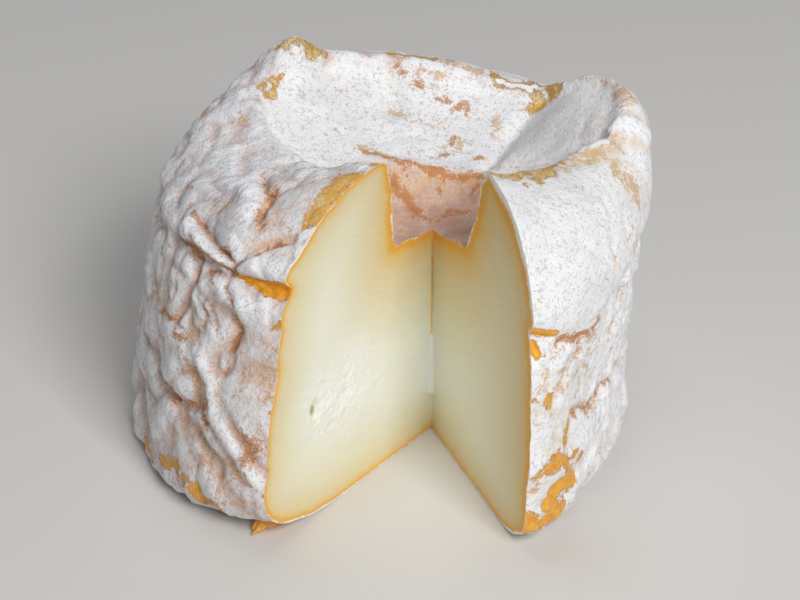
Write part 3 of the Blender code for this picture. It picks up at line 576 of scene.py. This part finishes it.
def skin(azimuth, place):
    """The folded rind on a grid of azimuths by places.

    Radii, heights, relief, the smooth points under it, and how far above the long fold each of them is.
    """
    smooth_r, smooth_z = profiles(azimuth)
    r, z = read_at(smooth_r, place), read_at(smooth_z, place)
    ahead, behind = np.minimum(place + 1 / SAMPLES, PLACES), np.maximum(place - 1 / SAMPLES, 0)
    along_r = read_at(smooth_r, ahead) - read_at(smooth_r, behind)
    along_z = read_at(smooth_z, ahead) - read_at(smooth_z, behind)
    length = np.hypot(along_r, along_z)
    along_r, along_z = along_r / length, along_z / length
    run = np.cumsum(np.hypot(np.diff(smooth_r, prepend=0), np.diff(smooth_z, prepend=0)), axis=1)
    from_fold = read_at(run, place) - read_at(run, around(FOLD_PLACE, azimuth)[:, None])

    points = upright(azimuth, r, z)
    bowl = np.clip(place - RIM, 0, 1)
    rough = blend(either_side(from_fold, azimuth, WRINKLES_BELOW, WRINKLES_ABOVE), WRINKLES_IN_BOWL, bowl)
    out, along = fold_shape(azimuth, from_fold)
    out = out + rough * each(wrinkle, points) + SWELL * smooth_noise(points, SWELL_SIZE) * (1 - bowl)
    for height, width, *line in STROKES:
        out += height * nearness(points, width, line)
    out -= CREASE_DEPTH * creased(points, CREASE_WIDTH) * (1 + smooth_noise(points, CREASE_BREAKS))
    finer = blend(either_side(from_fold, azimuth, FOLDLETS_BELOW, FOLDLETS_ABOVE), FOLDLETS_IN_BOWL, bowl)
    out += finer * (each(foldlet, points) - FOLDLET_TOP)
    # The relief dies away towards the flat base and towards the pole.
    fade = np.clip(RELIEF_FADE * (place - FOOT), 0, 1) * np.clip(RELIEF_FADE * (PLACES - place), 0, 1)
    at, half, reach, height = FLAP
    near = np.exp(-(((azimuth[:, None] - at) / half) ** 2) - (z / height) ** 2)
    near = near * read_run(TORN, azimuth)[:, None]
    r = r + fade * (out * along_z + along * along_r) + reach * near * np.minimum(place, FOOT)
    z = z + fade * (along * along_z - out * along_r)
    return r, np.maximum(z, 0), out, points, from_fold


def rows_of(rows, azimuth):
    """The places of the mesh's rows for each azimuth. They close in on the long fold from both sides."""
    fold = around(FOLD_PLACE, azimuth)[:, None]
    places = [part + np.arange(count) / count + 0 * fold for part, count in enumerate(rows)]
    below = 1 - (1 - np.arange(rows[WALL]) / rows[WALL]) ** ROWS_CLOSE_IN
    above = (np.arange(rows[SHOULDER]) / rows[SHOULDER]) ** ROWS_CLOSE_IN
    places[WALL] = WALL + (fold - WALL) * below
    places[SHOULDER] = fold + (RIM - fold) * above
    return np.concatenate(places + [PLACES + 0 * fold], axis=1)


def line_points(line):
    """Points close together along a line on the smooth skin, given as azimuth and place by turns."""
    at, place = np.array(line, float).reshape(-1, 2).T
    steps = np.linspace(0, len(at) - 1, LINE_POINTS * len(at))
    place = np.interp(steps, np.arange(len(at)), place)[:, None]
    at = np.interp(steps, np.arange(len(at)), at)
    r, z = profiles(at)
    return upright(at, read_at(r, place), read_at(z, place))[:, 0]


def nearness(points, width, line):
    """1 on the line, falling with the distance from it to 0.37 at the width."""
    middle = line_points(line)
    near = np.empty(points.shape[:2])
    for column, out in zip(points, near):
        out[:] = np.exp(-((column[:, None] - middle) ** 2).sum(axis=2).min(axis=1) / width**2)
    return near


def marked(points, marks):
    return np.max([nearness(points, width, line) for width, *line in marks], axis=0)


def creased(points, width):
    return np.max([strength * nearness(points, width, line) for strength, *line in CREASES], axis=0)


def blurred(grid, cells):
    """The grid, smoothed over this many cells each way."""
    for _ in range(2):
        grid = np.stack([smoothed(run, cells, BLUR_REACH * cells, mode="edge") for run in grid.T])
    return grid


def levels(points, azimuth, place, from_fold, out):
    """What the skin's material reads at each vertex, as shares."""
    bowl = np.clip(place - RIM, 0, 1)
    pit = np.clip((place - PIT_FROM) / PIT_OVER, 0, 1)
    foot = np.exp(-((points[..., 2] / BARE_FOOT_UP) ** 2)) * (place < SHOULDER)
    stained = either_side(from_fold, azimuth, STAIN_BELOW, STAIN_ABOVE)
    stained = blend(stained, around(STAIN_IN_BOWL, azimuth)[:, None], bowl)
    stained = blend(stained, STAIN_IN_PIT, pit)
    # The marks are measured from points that are moved about a little, which gives them ragged outlines.
    ragged = points + WOBBLE * each(lambda point: wander(point, WOBBLE_SIZE), points)
    amber = marked(ragged, AMBER)
    bare = np.maximum(marked(ragged, BARE), around(BARE_FOOT, azimuth)[:, None] * foot)
    gaps = marked(blend(points, ragged, GAP_WOBBLE), GAPS)
    crest = np.clip((out - blurred(out, CREST_CELLS)) / CREST_HEIGHT, -1, 1)
    return {
        "bare": np.max((bare, AMBER_FIRMNESS * amber, GAP_FIRMNESS * gaps), axis=0),
        "powder": marked(ragged, POWDERED),
        "amber": amber,
        "stain": np.maximum(STAIN_MARKED * marked(ragged, STAINED), stained),
        "red": marked(ragged, REDDENED),
        "crease": creased(blend(points, ragged, CREASE_WOBBLE), CREASE_STAIN),
        "blush": marked(points, BLUSHING),
        "crest": crest * (1 - CREST_LESS_IN_BOWL * bowl),
        # Painted shade on the bowl's slope and on the hollows that the light misses.
        "painted_shade": marked(points, PAINTED_SHADE_MARKS),
        "pit": pit + 0 * out,
        "coarse": around(COARSE, azimuth)[:, None] * (1 - bowl) + 0 * out,
    }


def inside(points, outline):
    """Which of the (r, z) points lie within the closed outline."""
    x, y = points.T[:, :, None]
    x0, y0 = outline.T
    x1, y1 = np.roll(outline, -1, axis=0).T
    crosses = (y0 > y) != (y1 > y)
    return (crosses & (x < x0 + (y - y0) * (x1 - x0) / np.where(y1 == y0, 1, y1 - y0))).sum(axis=1) % 2 == 1


def crust_and_rind(place, left):
    """How thick the white crust and the orange rind are at places along a cut's edge."""
    crust, rind = (CRUST_LEFT, RIND_LEFT) if left else (CRUST_RIGHT, RIND_RIGHT)
    return read_run(crust, place), read_run(rind, place)


def from_rind(points, rind, place, left):
    """How deep each (r, z) point lies under the white crust, counted in thicknesses of the rind."""
    start, step = rind[:-1], np.diff(rind, axis=0)
    away = points[:, None] - start
    along = np.clip((away * step).sum(axis=2) / (step**2).sum(axis=1), 0, 1)
    far = np.maximum(np.hypot(*(away - along[:, :, None] * step).transpose(2, 0, 1)), NEAREST)
    crust, thick = crust_and_rind(place[:-1], left)
    nearest, at = far.min(axis=1), far.argmin(axis=1)
    beside = (nearest - crust[at]) / thick[at]
    # Far from the rind all of it counts, so the paste's shades have no ridges midway between its sides. Along
    # a straight rind the sum of length / distance**4 is pi / 2 / depth**3.
    weight = np.hypot(*step.T) / far**4
    total = weight.sum(axis=1)
    between = ((0.5 * np.pi / total) ** (1 / 3) - weight @ crust / total) / (weight @ thick / total)
    share = np.clip((nearest - DEPTH_BLENDS[0]) / (DEPTH_BLENDS[1] - DEPTH_BLENDS[0]), 0, 1)
    return beside + (between - beside) * share


def crossings(radii, heights):
    """The (r, z) points where lines at these radii and at these heights cross."""
    return np.stack(np.meshgrid(radii, heights), axis=-1).reshape(-1, 2)


def paste_points(outline, left):
    """Points spread over a cut, with rows close together beside the corner where the cuts meet."""
    rng = np.random.default_rng(PASTE_SEED)
    spread = crossings(*(np.arange(low, high, PASTE_GRAIN) for low, high in zip(PASTE_FROM, PASTE_UP_TO)))
    spread = spread + rng.uniform(-PASTE_JITTER, PASTE_JITTER, spread.shape) * PASTE_GRAIN
    beside = crossings(BESIDE_CORNER, np.arange(*BESIDE_HEIGHTS, PASTE_GRAIN))
    if left:
        low, high = np.array(CRUMBLED)
        spread = spread[((spread < low) | (spread > high)).any(axis=1)]
        finer = crossings(*(np.arange(*ends, CRUMB_GRAIN) for ends in zip(low, high)))
        spread = np.concatenate((spread, finer))
    points = np.concatenate((beside, spread))
    kept = points[inside(points, outline)]
    far = np.hypot(*(kept[:, None] - outline).transpose(2, 0, 1)).min(axis=1)
    close = (kept[:, 0] < PASTE_FROM[0] - PASTE_MARGIN * PASTE_GRAIN) & (far > BESIDE_MARGIN)
    return kept[(far > PASTE_MARGIN * PASTE_GRAIN) | close]


def paste_relief(points, deep, left):
    """How far the paste stands out from the flat cut, and how chalky it is; in the pits this falls below zero
    for painted shade.
    """
    slow = np.array([noise.noise(Vector((r, z, UNEVEN_SLICE * left)) / UNEVEN_SIZE) for r, z in points])
    crumb = np.array([ridged(Vector((r, z, CRUMB_SLICE)) / CRUMB_SIZE) for r, z in points])
    chalk_and_pit_shade = np.exp(-(((points - CHALK[0]) / CHALK[1]) ** 2).sum(axis=1))
    out = UNEVEN * slow
    if left:
        out = out - CRUMB * crumb * np.clip(CRUMBS_IN[0] * chalk_and_pit_shade + CRUMBS_IN[1], 0, 1)
        for height, middle, half in CRUMBS:
            near = np.exp(-(((points - middle) / half) ** 2).sum(axis=1))
            out = out + height * near
            # A pit takes the chalk level below zero, where the paste's material paints shade.
            chalk_and_pit_shade = chalk_and_pit_shade + CRUMB_SHADE * min(height, 0) * near
    return out * np.clip(deep - 0.5, 0, 1), chalk_and_pit_shade * (1.0 if left else CHALK_AT_RIGHT)


def on_cut(points, azimuth, out):
    """The (r, z) points of a cut in space, moved out into the gap, with the web of paste in the corner."""
    turn, side = np.radians(azimuth), 1 if azimuth == LEFT else -1
    flat = np.stack((points[:, 0] * np.cos(turn), points[:, 0] * np.sin(turn), points[:, 1]), axis=1)
    flat = flat + out[:, None] * (-side * np.sin(turn), side * np.cos(turn), 0)
    half = np.radians((RIGHT + 360 - LEFT) / 2)
    stands = np.maximum(read_run(WEB, points[:, 1]) - points[:, 0] * np.cos(half), 0)
    middle = np.radians(LEFT) + half
    return flat + stands[:, None] * (np.cos(middle), np.sin(middle), 0)


def by_vertex(grid):
    """A grid of azimuths by places as the mesh's vertices have it: the base's middle, the pole, the rest."""
    return np.concatenate((grid[0, :1], grid[0, -1:], grid[:, 1:-1].reshape(-1, *grid.shape[2:])))


def skin_faces(rows):
    """The vertex at each azimuth and place, and the faces between them."""
    index = 2 + np.arange(COLUMNS)[:, None] * (rows - 2) + np.arange(-1, rows - 1)
    index[:, 0], index[:, -1] = 0, 1
    quads = np.stack((index[:-1], index[1:]), axis=2)[:, 1:-1]
    quads = np.concatenate((quads[:, :-1], quads[:, 1:, ::-1]), axis=2).reshape(-1, 4)
    under = np.stack((0 * index[:-1, 1], index[1:, 1], index[:-1, 1]), axis=1)
    over = np.stack((0 * index[:-1, 1] + 1, index[:-1, -2], index[1:, -2]), axis=1)
    return index, quads.tolist() + under.tolist() + over.tolist()


def cheese_mesh(name):
    azimuth = read_run(COLUMNS_UP_TO, np.linspace(0, 1, COLUMNS))
    place = rows_of(ROWS, azimuth)
    r, z, out, smooth, from_fold = skin(azimuth, place)
    index, faces = skin_faces(r.shape[1])
    rind_faces = len(faces)
    points = [by_vertex(upright(azimuth, r, z))]
    count = len(points[0])

    # The line that both cuts share, then the inner points of each.
    corner = np.arange(POLE_TOP - PASTE_GRAIN, 0.5 * PASTE_GRAIN, -PASTE_GRAIN)
    corner = np.stack((0 * corner, corner), axis=1)
    corner_index = list(range(count, count + len(corner)))
    count += len(corner)
    points.append(on_cut(corner, LEFT, np.zeros(len(corner))))
    deep = from_rind(corner, np.stack((r[-1], z[-1]), axis=1), place[-1], True)
    deep[corner[:, 1] > CORNER_STAINED] = CORNER_DEEP
    paste = [(corner_index, deep, 0 * deep)]
    for side, turned, left in ((0, 1, False), (-1, -1, True)):
        rind = np.stack((r[side], z[side]), axis=1)
        outline = np.concatenate((rind, corner))
        inner = paste_points(outline, left)
        deep = from_rind(inner, rind, place[side], left)
        deep[(inner[:, 0] < CORNER_WIDTH) & (inner[:, 1] > CORNER_STAINED)] = CORNER_DEEP
        stands, chalk_and_pit_shade = paste_relief(inner, deep, left)
        points.append(on_cut(inner, azimuth[side], stands))
        edge_index, inner_index = list(index[side]), list(range(count, count + len(inner)))
        count += len(inner)
        crust, thick = crust_and_rind(place[side], left)
        paste += [(inner_index, deep, chalk_and_pit_shade), (edge_index, -crust / thick, 0 * crust)]
        names = edge_index + corner_index + inner_index
        for triangle in triangles_inside(outline, inner):
            faces.append([int(names[vertex]) for vertex in triangle[::turned]])

    mesh = bpy.data.meshes.new(name)
    place_at = (np.concatenate(points) + (*POLE, 0)) * MM
    mesh.from_pydata(np.clip(place_at, *solid_box).tolist(), [], faces)
    mesh.polygons.foreach_set("material_index", np.arange(len(faces)) >= rind_faces)
    mesh.polygons.foreach_set("use_smooth", np.ones(len(faces), bool))
    mesh.set_sharp_from_angle(angle=SHARP_ANGLE)
    for level, values in levels(smooth, azimuth, place, from_fold, out).items():
        values = by_vertex(values)
        add_level(mesh, level, np.pad(values, (0, count - len(values))))
    # The chalk level also carries the shade painted in the crumbs' pits.
    deep, chalky = np.zeros(count), np.zeros(count)
    for vertices, depth, chalk_and_pit_shade in paste:
        deep[vertices], chalky[vertices] = depth, chalk_and_pit_shade
    add_level(mesh, "deep", deep)
    add_level(mesh, "chalk_and_pit_shade", chalky)
    return mesh


def add_level(mesh, name, values):
    mesh.attributes.new(name, "FLOAT", "POINT").data.foreach_set("value", values.astype(np.float32))


def triangles_inside(outline, inner):
    """Triangles over an outline and the points inside it, as indices of the two together, anticlockwise."""
    corners = [Vector(point) for point in np.concatenate((outline, inner))]
    found = delaunay_2d_cdt(corners, [], [list(range(len(outline)))], INSIDE_ONLY, SAME_POINT)
    faces, came_from = found[2], found[3]
    return [[came_from[corner][0] for corner in face] for face in faces]


class Nodes:
    """Short ways to add nodes to a material. An input is a number, a colour or another node's output."""

    def __init__(self, name):
        self.material = bpy.data.materials.new(name)
        self.material.use_nodes = True
        self.tree = self.material.node_tree
        self.shader = self.tree.nodes["Principled BSDF"]
        self.coordinates = self.add("ShaderNodeTexCoord").outputs["Object"]

    def add(self, kind, settings=None, **inputs):
        made = self.tree.nodes.new(kind)
        for name, value in (settings or {}).items():
            setattr(made, name, value)
        for name, value in inputs.items():
            self.put(made, name.replace("_", " "), value)
        return made

    def put(self, node, name, value):
        socket = node.inputs[int(name) if name.isdigit() else name]
        if isinstance(value, bpy.types.NodeSocket):
            self.tree.links.new(value, socket)
        else:
            socket.default_value = value

    def level(self, name):
        return self.add("ShaderNodeAttribute", {"attribute_name": name}).outputs["Fac"]

    def calc(self, operation, *values):
        made = self.add("ShaderNodeMath", {"operation": operation})
        for at, value in enumerate(values):
            self.put(made, str(at), value)
        return made.outputs[0]

    def times(self, first, second):
        return self.calc("MULTIPLY", first, second)

    def weigh(self, *pairs):
        """The sum of each value times its weight."""
        total = 0.0
        for value, weight in pairs:
            total = self.calc("MULTIPLY_ADD", value, weight, total)
        return total

    def grain(self, size, detail=3.0, roughness=0.5, seed=0.0, stretch=None):
        """Noise from 0 to 1 with lumps of about this size in millimetres, drawn out along a direction."""
        where = self.coordinates
        if stretch:
            inputs = {"Vector": where, "Rotation": stretch[0], "Scale": stretch[1]}
            where = self.add("ShaderNodeMapping", {"vector_type": "TEXTURE"}, **inputs).outputs[0]
        inputs = {"Vector": where, "W": seed, "Scale": 1 / (size * MM), "Detail": detail}
        made = self.add("ShaderNodeTexNoise", {"noise_dimensions": "4D"}, Roughness=roughness, **inputs)
        return made.outputs["Fac"]

    def around_zero(self, value):
        return self.calc("SUBTRACT", value, 0.5)

    def pores(self, size):
        """How far each spot is from the nearest of many small pores, in their sizes."""
        made = self.add("ShaderNodeTexVoronoi", Vector=self.coordinates, Scale=1 / (size * MM))
        return made.outputs["Distance"]

    def step(self, value, low, high):
        """0 up to low, 1 from high, and smooth between."""
        smooth = {"interpolation_type": "SMOOTHSTEP"}
        made = self.add("ShaderNodeMapRange", smooth, Value=value, From_Min=low, From_Max=high)
        return made.outputs["Result"]

    def mix(self, share, first, second):
        made = self.add("ShaderNodeMix", {"data_type": "RGBA"})
        self.put(made, "0", share)
        self.put(made, "6", first)
        self.put(made, "7", second)
        return made.outputs[2]

    def ramp(self, value, stops):
        made = self.add("ShaderNodeValToRGB", Fac=value)
        elements = made.color_ramp.elements
        while len(elements) < len(stops):
            elements.new(0.5)
        for element, (at, colour) in zip(elements, stops):
            element.position = at
            element.color = colour
        return made.outputs["Color"]

    def bump(self, height, depth):
        """Normals of a height from 0 to 1 that stands this many millimetres high."""
        return self.add("ShaderNodeBump", Height=height, Distance=depth * MM).outputs["Normal"]

    def scatter(self, shares, distance):
        """Light goes this many millimetres under the surface, times each colour's share."""
        self.put(self.shader, "Subsurface Radius", shares)
        self.put(self.shader, "Subsurface Scale", distance * MM)


def rind_material():
    """White bloom over an orange rind. Most of each noise lies within 0.1 of 0. Weights are set one by one.
    """
    n = Nodes("rind")
    bare, stain, crest, coarse, pit = (n.level(name) for name in ("bare", "stain", "crest", "coarse", "pit"))
    cloud, blotch, speck, fleck = (n.around_zero(n.grain(*grain)) for grain in (CLOUD, BLOTCH, SPECK, FLECK))

    # The white bloom is thick on the crests and greyer, pinker and thinner in the hollows: partly the bloom's
    # own, partly painted shade in the hollows and a painted highlight on the crests.
    thickness_and_shade = n.weigh(
        (crest, 0.5), (cloud, 0.8), (blotch, 1.4), (speck, 0.8), (fleck, 0.6), (coarse, -0.52), (1.0, 0.4),
    )
    bloom = n.mix(n.step(thickness_and_shade, -0.5, 0.05), BLOOM_THIN_AND_SHADED, BLOOM)
    bloom = n.mix(n.times(n.step(cloud, -0.08, 0.15), 0.6), bloom, BLOOM_COOL)
    # Painted shade: the bloom turns grey on the bowl's slope and on the hollows that the light misses.
    bloom = n.mix(n.times(n.level("painted_shade"), 0.75), bloom, BLOOM_PAINTED_SHADE)
    bare_of_white = n.step(n.weigh((blotch, -0.8), (speck, -0.5), (cloud, -0.8), (1.0, 0.4)), 0.2, 0.5)
    bloom = n.mix(n.times(pit, n.weigh((bare_of_white, 0.55), (1.0, 0.4))), bloom, BLOOM_IN_PIT)
    patchy = n.step(n.weigh((cloud, 1.0), (blotch, 1.0), (crest, -0.3)), -0.2, 0.3)
    blushing = n.times(n.weigh((n.level("blush"), 0.9), (1.0, 0.14)), patchy)
    bloom = n.mix(blushing, bloom, n.mix(n.step(coarse, 0.3, 0.8), BEIGE, BLUSH))

    # Stains lie on it in ragged flecks, redder ones and the brown creases over them, and small pores.
    stained = n.weigh((stain, 1.0), (crest, -0.22), (blotch, 1.3), (speck, 2.2), (fleck, 1.6), (cloud, 1.5))
    stained = n.step(stained, 0.5, 0.95)
    tint = n.mix(n.step(n.weigh((cloud, 1.0), (coarse, -0.22), (1.0, 0.15)), -0.1, 0.1), SALMON, OCHRE)
    skin_colour = n.mix(n.times(stained, 0.75), bloom, tint)
    reddened = n.weigh((n.level("red"), 1.0), (blotch, 1.2), (speck, 2.4), (fleck, 2.0), (crest, -0.2))
    rust = n.mix(n.step(n.weigh((speck, 1.0), (fleck, 1.0)), -0.1, 0.12), CREASE, RUST)
    skin_colour = n.mix(n.times(n.step(reddened, 0.34, 0.85), 0.88), skin_colour, rust)
    creased = n.weigh((n.level("crease"), 1.0), (blotch, 1.5), (speck, 1.4), (fleck, 0.8))
    skin_colour = n.mix(n.times(n.step(creased, 0.3, 0.85), 0.8), skin_colour, CREASE)
    pore = n.weigh((n.pores(PORE_SIZE), -1.0), (blotch, 0.6), (cloud, 1.4))
    pore = n.times(n.step(pore, -0.01, 0.09), 0.35)
    skin_colour = n.mix(pore, skin_colour, PORE)

    # Where the bloom is off, the moist orange rind shows, with a salmon edge round it.
    uncovered = n.weigh((bare, 1.0), (blotch, 1.2), (speck, 1.3), (fleck, 0.8), (crest, -0.15))
    edge, shows = n.step(uncovered, 0.3, 0.56), n.step(uncovered, 0.5, 0.66)
    orange = n.mix(n.step(n.grain(*MOTTLE), 0.35, 0.6), ORANGE_DEEP, ORANGE)
    clouded = n.weigh((blotch, 1.0), (speck, 0.7))
    dry = n.mix(n.step(clouded, -0.03, 0.08), DRY, PALE)
    moist = n.mix(n.step(clouded, 0.0, 0.15), YELLOW, CREAM)
    amber = n.mix(n.step(coarse, 0.8, 0.95), dry, moist)
    orange = n.mix(n.step(n.level("amber"), 0.2, 0.5), orange, amber)
    skin_colour = n.mix(n.times(edge, 0.6), skin_colour, SALMON)
    skin_colour = n.mix(shows, skin_colour, orange)

    # Flecks of powder lie on the stains and the orange, and thick powder over everything.
    clean = n.step(bare, 1.0, 1.2)
    dusted = n.step(n.weigh((speck, 1.0), (fleck, 1.0), (clean, -0.3), (pit, -0.3)), 0.1, 0.18)
    powdered = n.step(n.weigh((n.level("powder"), 1.0), (blotch, 1.0), (speck, 1.6), (fleck, 0.8)), 0.4, 0.6)
    powdered = n.calc("MAXIMUM", n.times(dusted, 0.7), powdered)
    shows = n.times(shows, n.calc("SUBTRACT", 1.0, powdered))
    n.put(n.shader, "Base Color", n.mix(powdered, skin_colour, POWDER))
    n.put(n.shader, "Roughness", n.weigh((shows, -0.45), (speck, 0.1), (stained, -0.1), (1.0, 0.85)))

    streaks = n.times(n.around_zero(n.grain(*STREAKS)), coarse)
    powder = n.weigh(
        (fleck, 0.17), (speck, 0.2), (streaks, 0.35), (shows, -0.25), (pore, -0.15), (powdered, 0.1),
        (n.times(blotch, coarse), 0.25),
    )
    powder = n.times(powder, n.weigh((n.step(bare, 1.0, 1.3), -0.8), (1.0, 1.0)))
    n.put(n.shader, "Normal", n.bump(powder, POWDER_HEIGHT))
    n.put(n.shader, "Subsurface Weight", n.weigh((shows, 0.4), (1.0, 0.1)))
    n.scatter(SKIN_SCATTER, SKIN_SCATTERS)
    return n.material


def paste_material():
    n = Nodes("paste")
    deep, chalk_and_pit_shade = n.level("deep"), n.level("chalk_and_pit_shade")
    cloud, blotch, speck = (n.grain(*grain) for grain in (PASTE_CLOUD, PASTE_BLOTCH, PASTE_SPECK))
    wavering = n.weigh((deep, 1.0), (blotch, 1.4), (speck, 0.6), (1.0, -0.95))
    body = n.ramp(n.calc("DIVIDE", wavering, PASTE_DEEPEST), PASTE)
    # Painted shade: the paste turns dark where the chalk level sinks below zero, in the crumbs' pits.
    body = n.mix(n.step(n.weigh((chalk_and_pit_shade, -1.0)), 0.2, 0.8), body, PAINTED_PIT_SHADE)
    chalky = n.step(n.weigh((chalk_and_pit_shade, 1.0), (blotch, 0.5), (speck, 0.2), (cloud, 0.3)), 0.65, 1.5)
    n.put(n.shader, "Base Color", n.mix(chalky, body, CHALKY))
    n.put(n.shader, "Roughness", n.weigh((chalky, 0.5), (speck, 0.15), (1.0, 0.4)))
    smears = n.weigh((n.grain(*SMEAR), 0.5), (speck, 0.25), (n.times(blotch, chalky), 0.9))
    n.put(n.shader, "Normal", n.bump(smears, SMEAR_HEIGHT))
    n.put(n.shader, "Subsurface Weight", 0.4)
    n.scatter(PASTE_SCATTER, PASTE_SCATTERS)
    return n.material


def placed(name, data, place=(0, 0, 0), turn=(0, 0, 0)):
    """A new object in the scene."""
    made = bpy.data.objects.new(name, data)
    made.location, made.rotation_euler = place, turn
    bpy.context.scene.collection.objects.link(made)
    return made


def floor_and_lights():
    """A plain pale floor, a broad key light in front on the right, one overhead, and a soft fill."""
    data = bpy.data.meshes.new("floor")
    corners = [(x * FLOOR, y * FLOOR, -FLOOR_DROP) for x, y in ((-1, -1), (1, -1), (1, 1), (-1, 1))]
    data.from_pydata(corners, [], [(0, 1, 2, 3)])
    pale = Nodes("floor")
    pale.put(pale.shader, "Base Color", FLOOR_COLOUR)
    pale.put(pale.shader, "Roughness", FLOOR_ROUGHNESS)
    data.materials.append(pale.material)
    placed("floor", data)
    for name, place, size, power, tone in LIGHTS:
        lamp = bpy.data.lights.new(name, "AREA")
        lamp.size, lamp.energy, lamp.color = size, power, tone
        placed(name, lamp, place, (LOOK_AT - Vector(place)).to_track_quat("-Z", "Y").to_euler())
    world = bpy.data.worlds.new("studio")
    world.use_nodes = True
    background = world.node_tree.nodes["Background"]
    background.inputs["Color"].default_value = FILL_COLOUR
    background.inputs["Strength"].default_value = FILL
    bpy.context.scene.world = world


def camera():
    data = bpy.data.cameras.new("camera")
    data.lens, data.sensor_width = LENS, SENSOR
    data.clip_start, data.clip_end = CLIP
    bpy.context.scene.camera = placed("camera", data, CAMERA, (np.radians(90 - LOOKS_DOWN), 0, 0))


def main():
    data = cheese_mesh("cheese_cut")
    data.materials.append(rind_material())
    data.materials.append(paste_material())
    cheese = placed("cheese_cut", data)
    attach(cheese, "root")
    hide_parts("cheese")
    floor_and_lights()
    camera()
    bpy.context.scene.view_settings.view_transform = "Standard"


main()
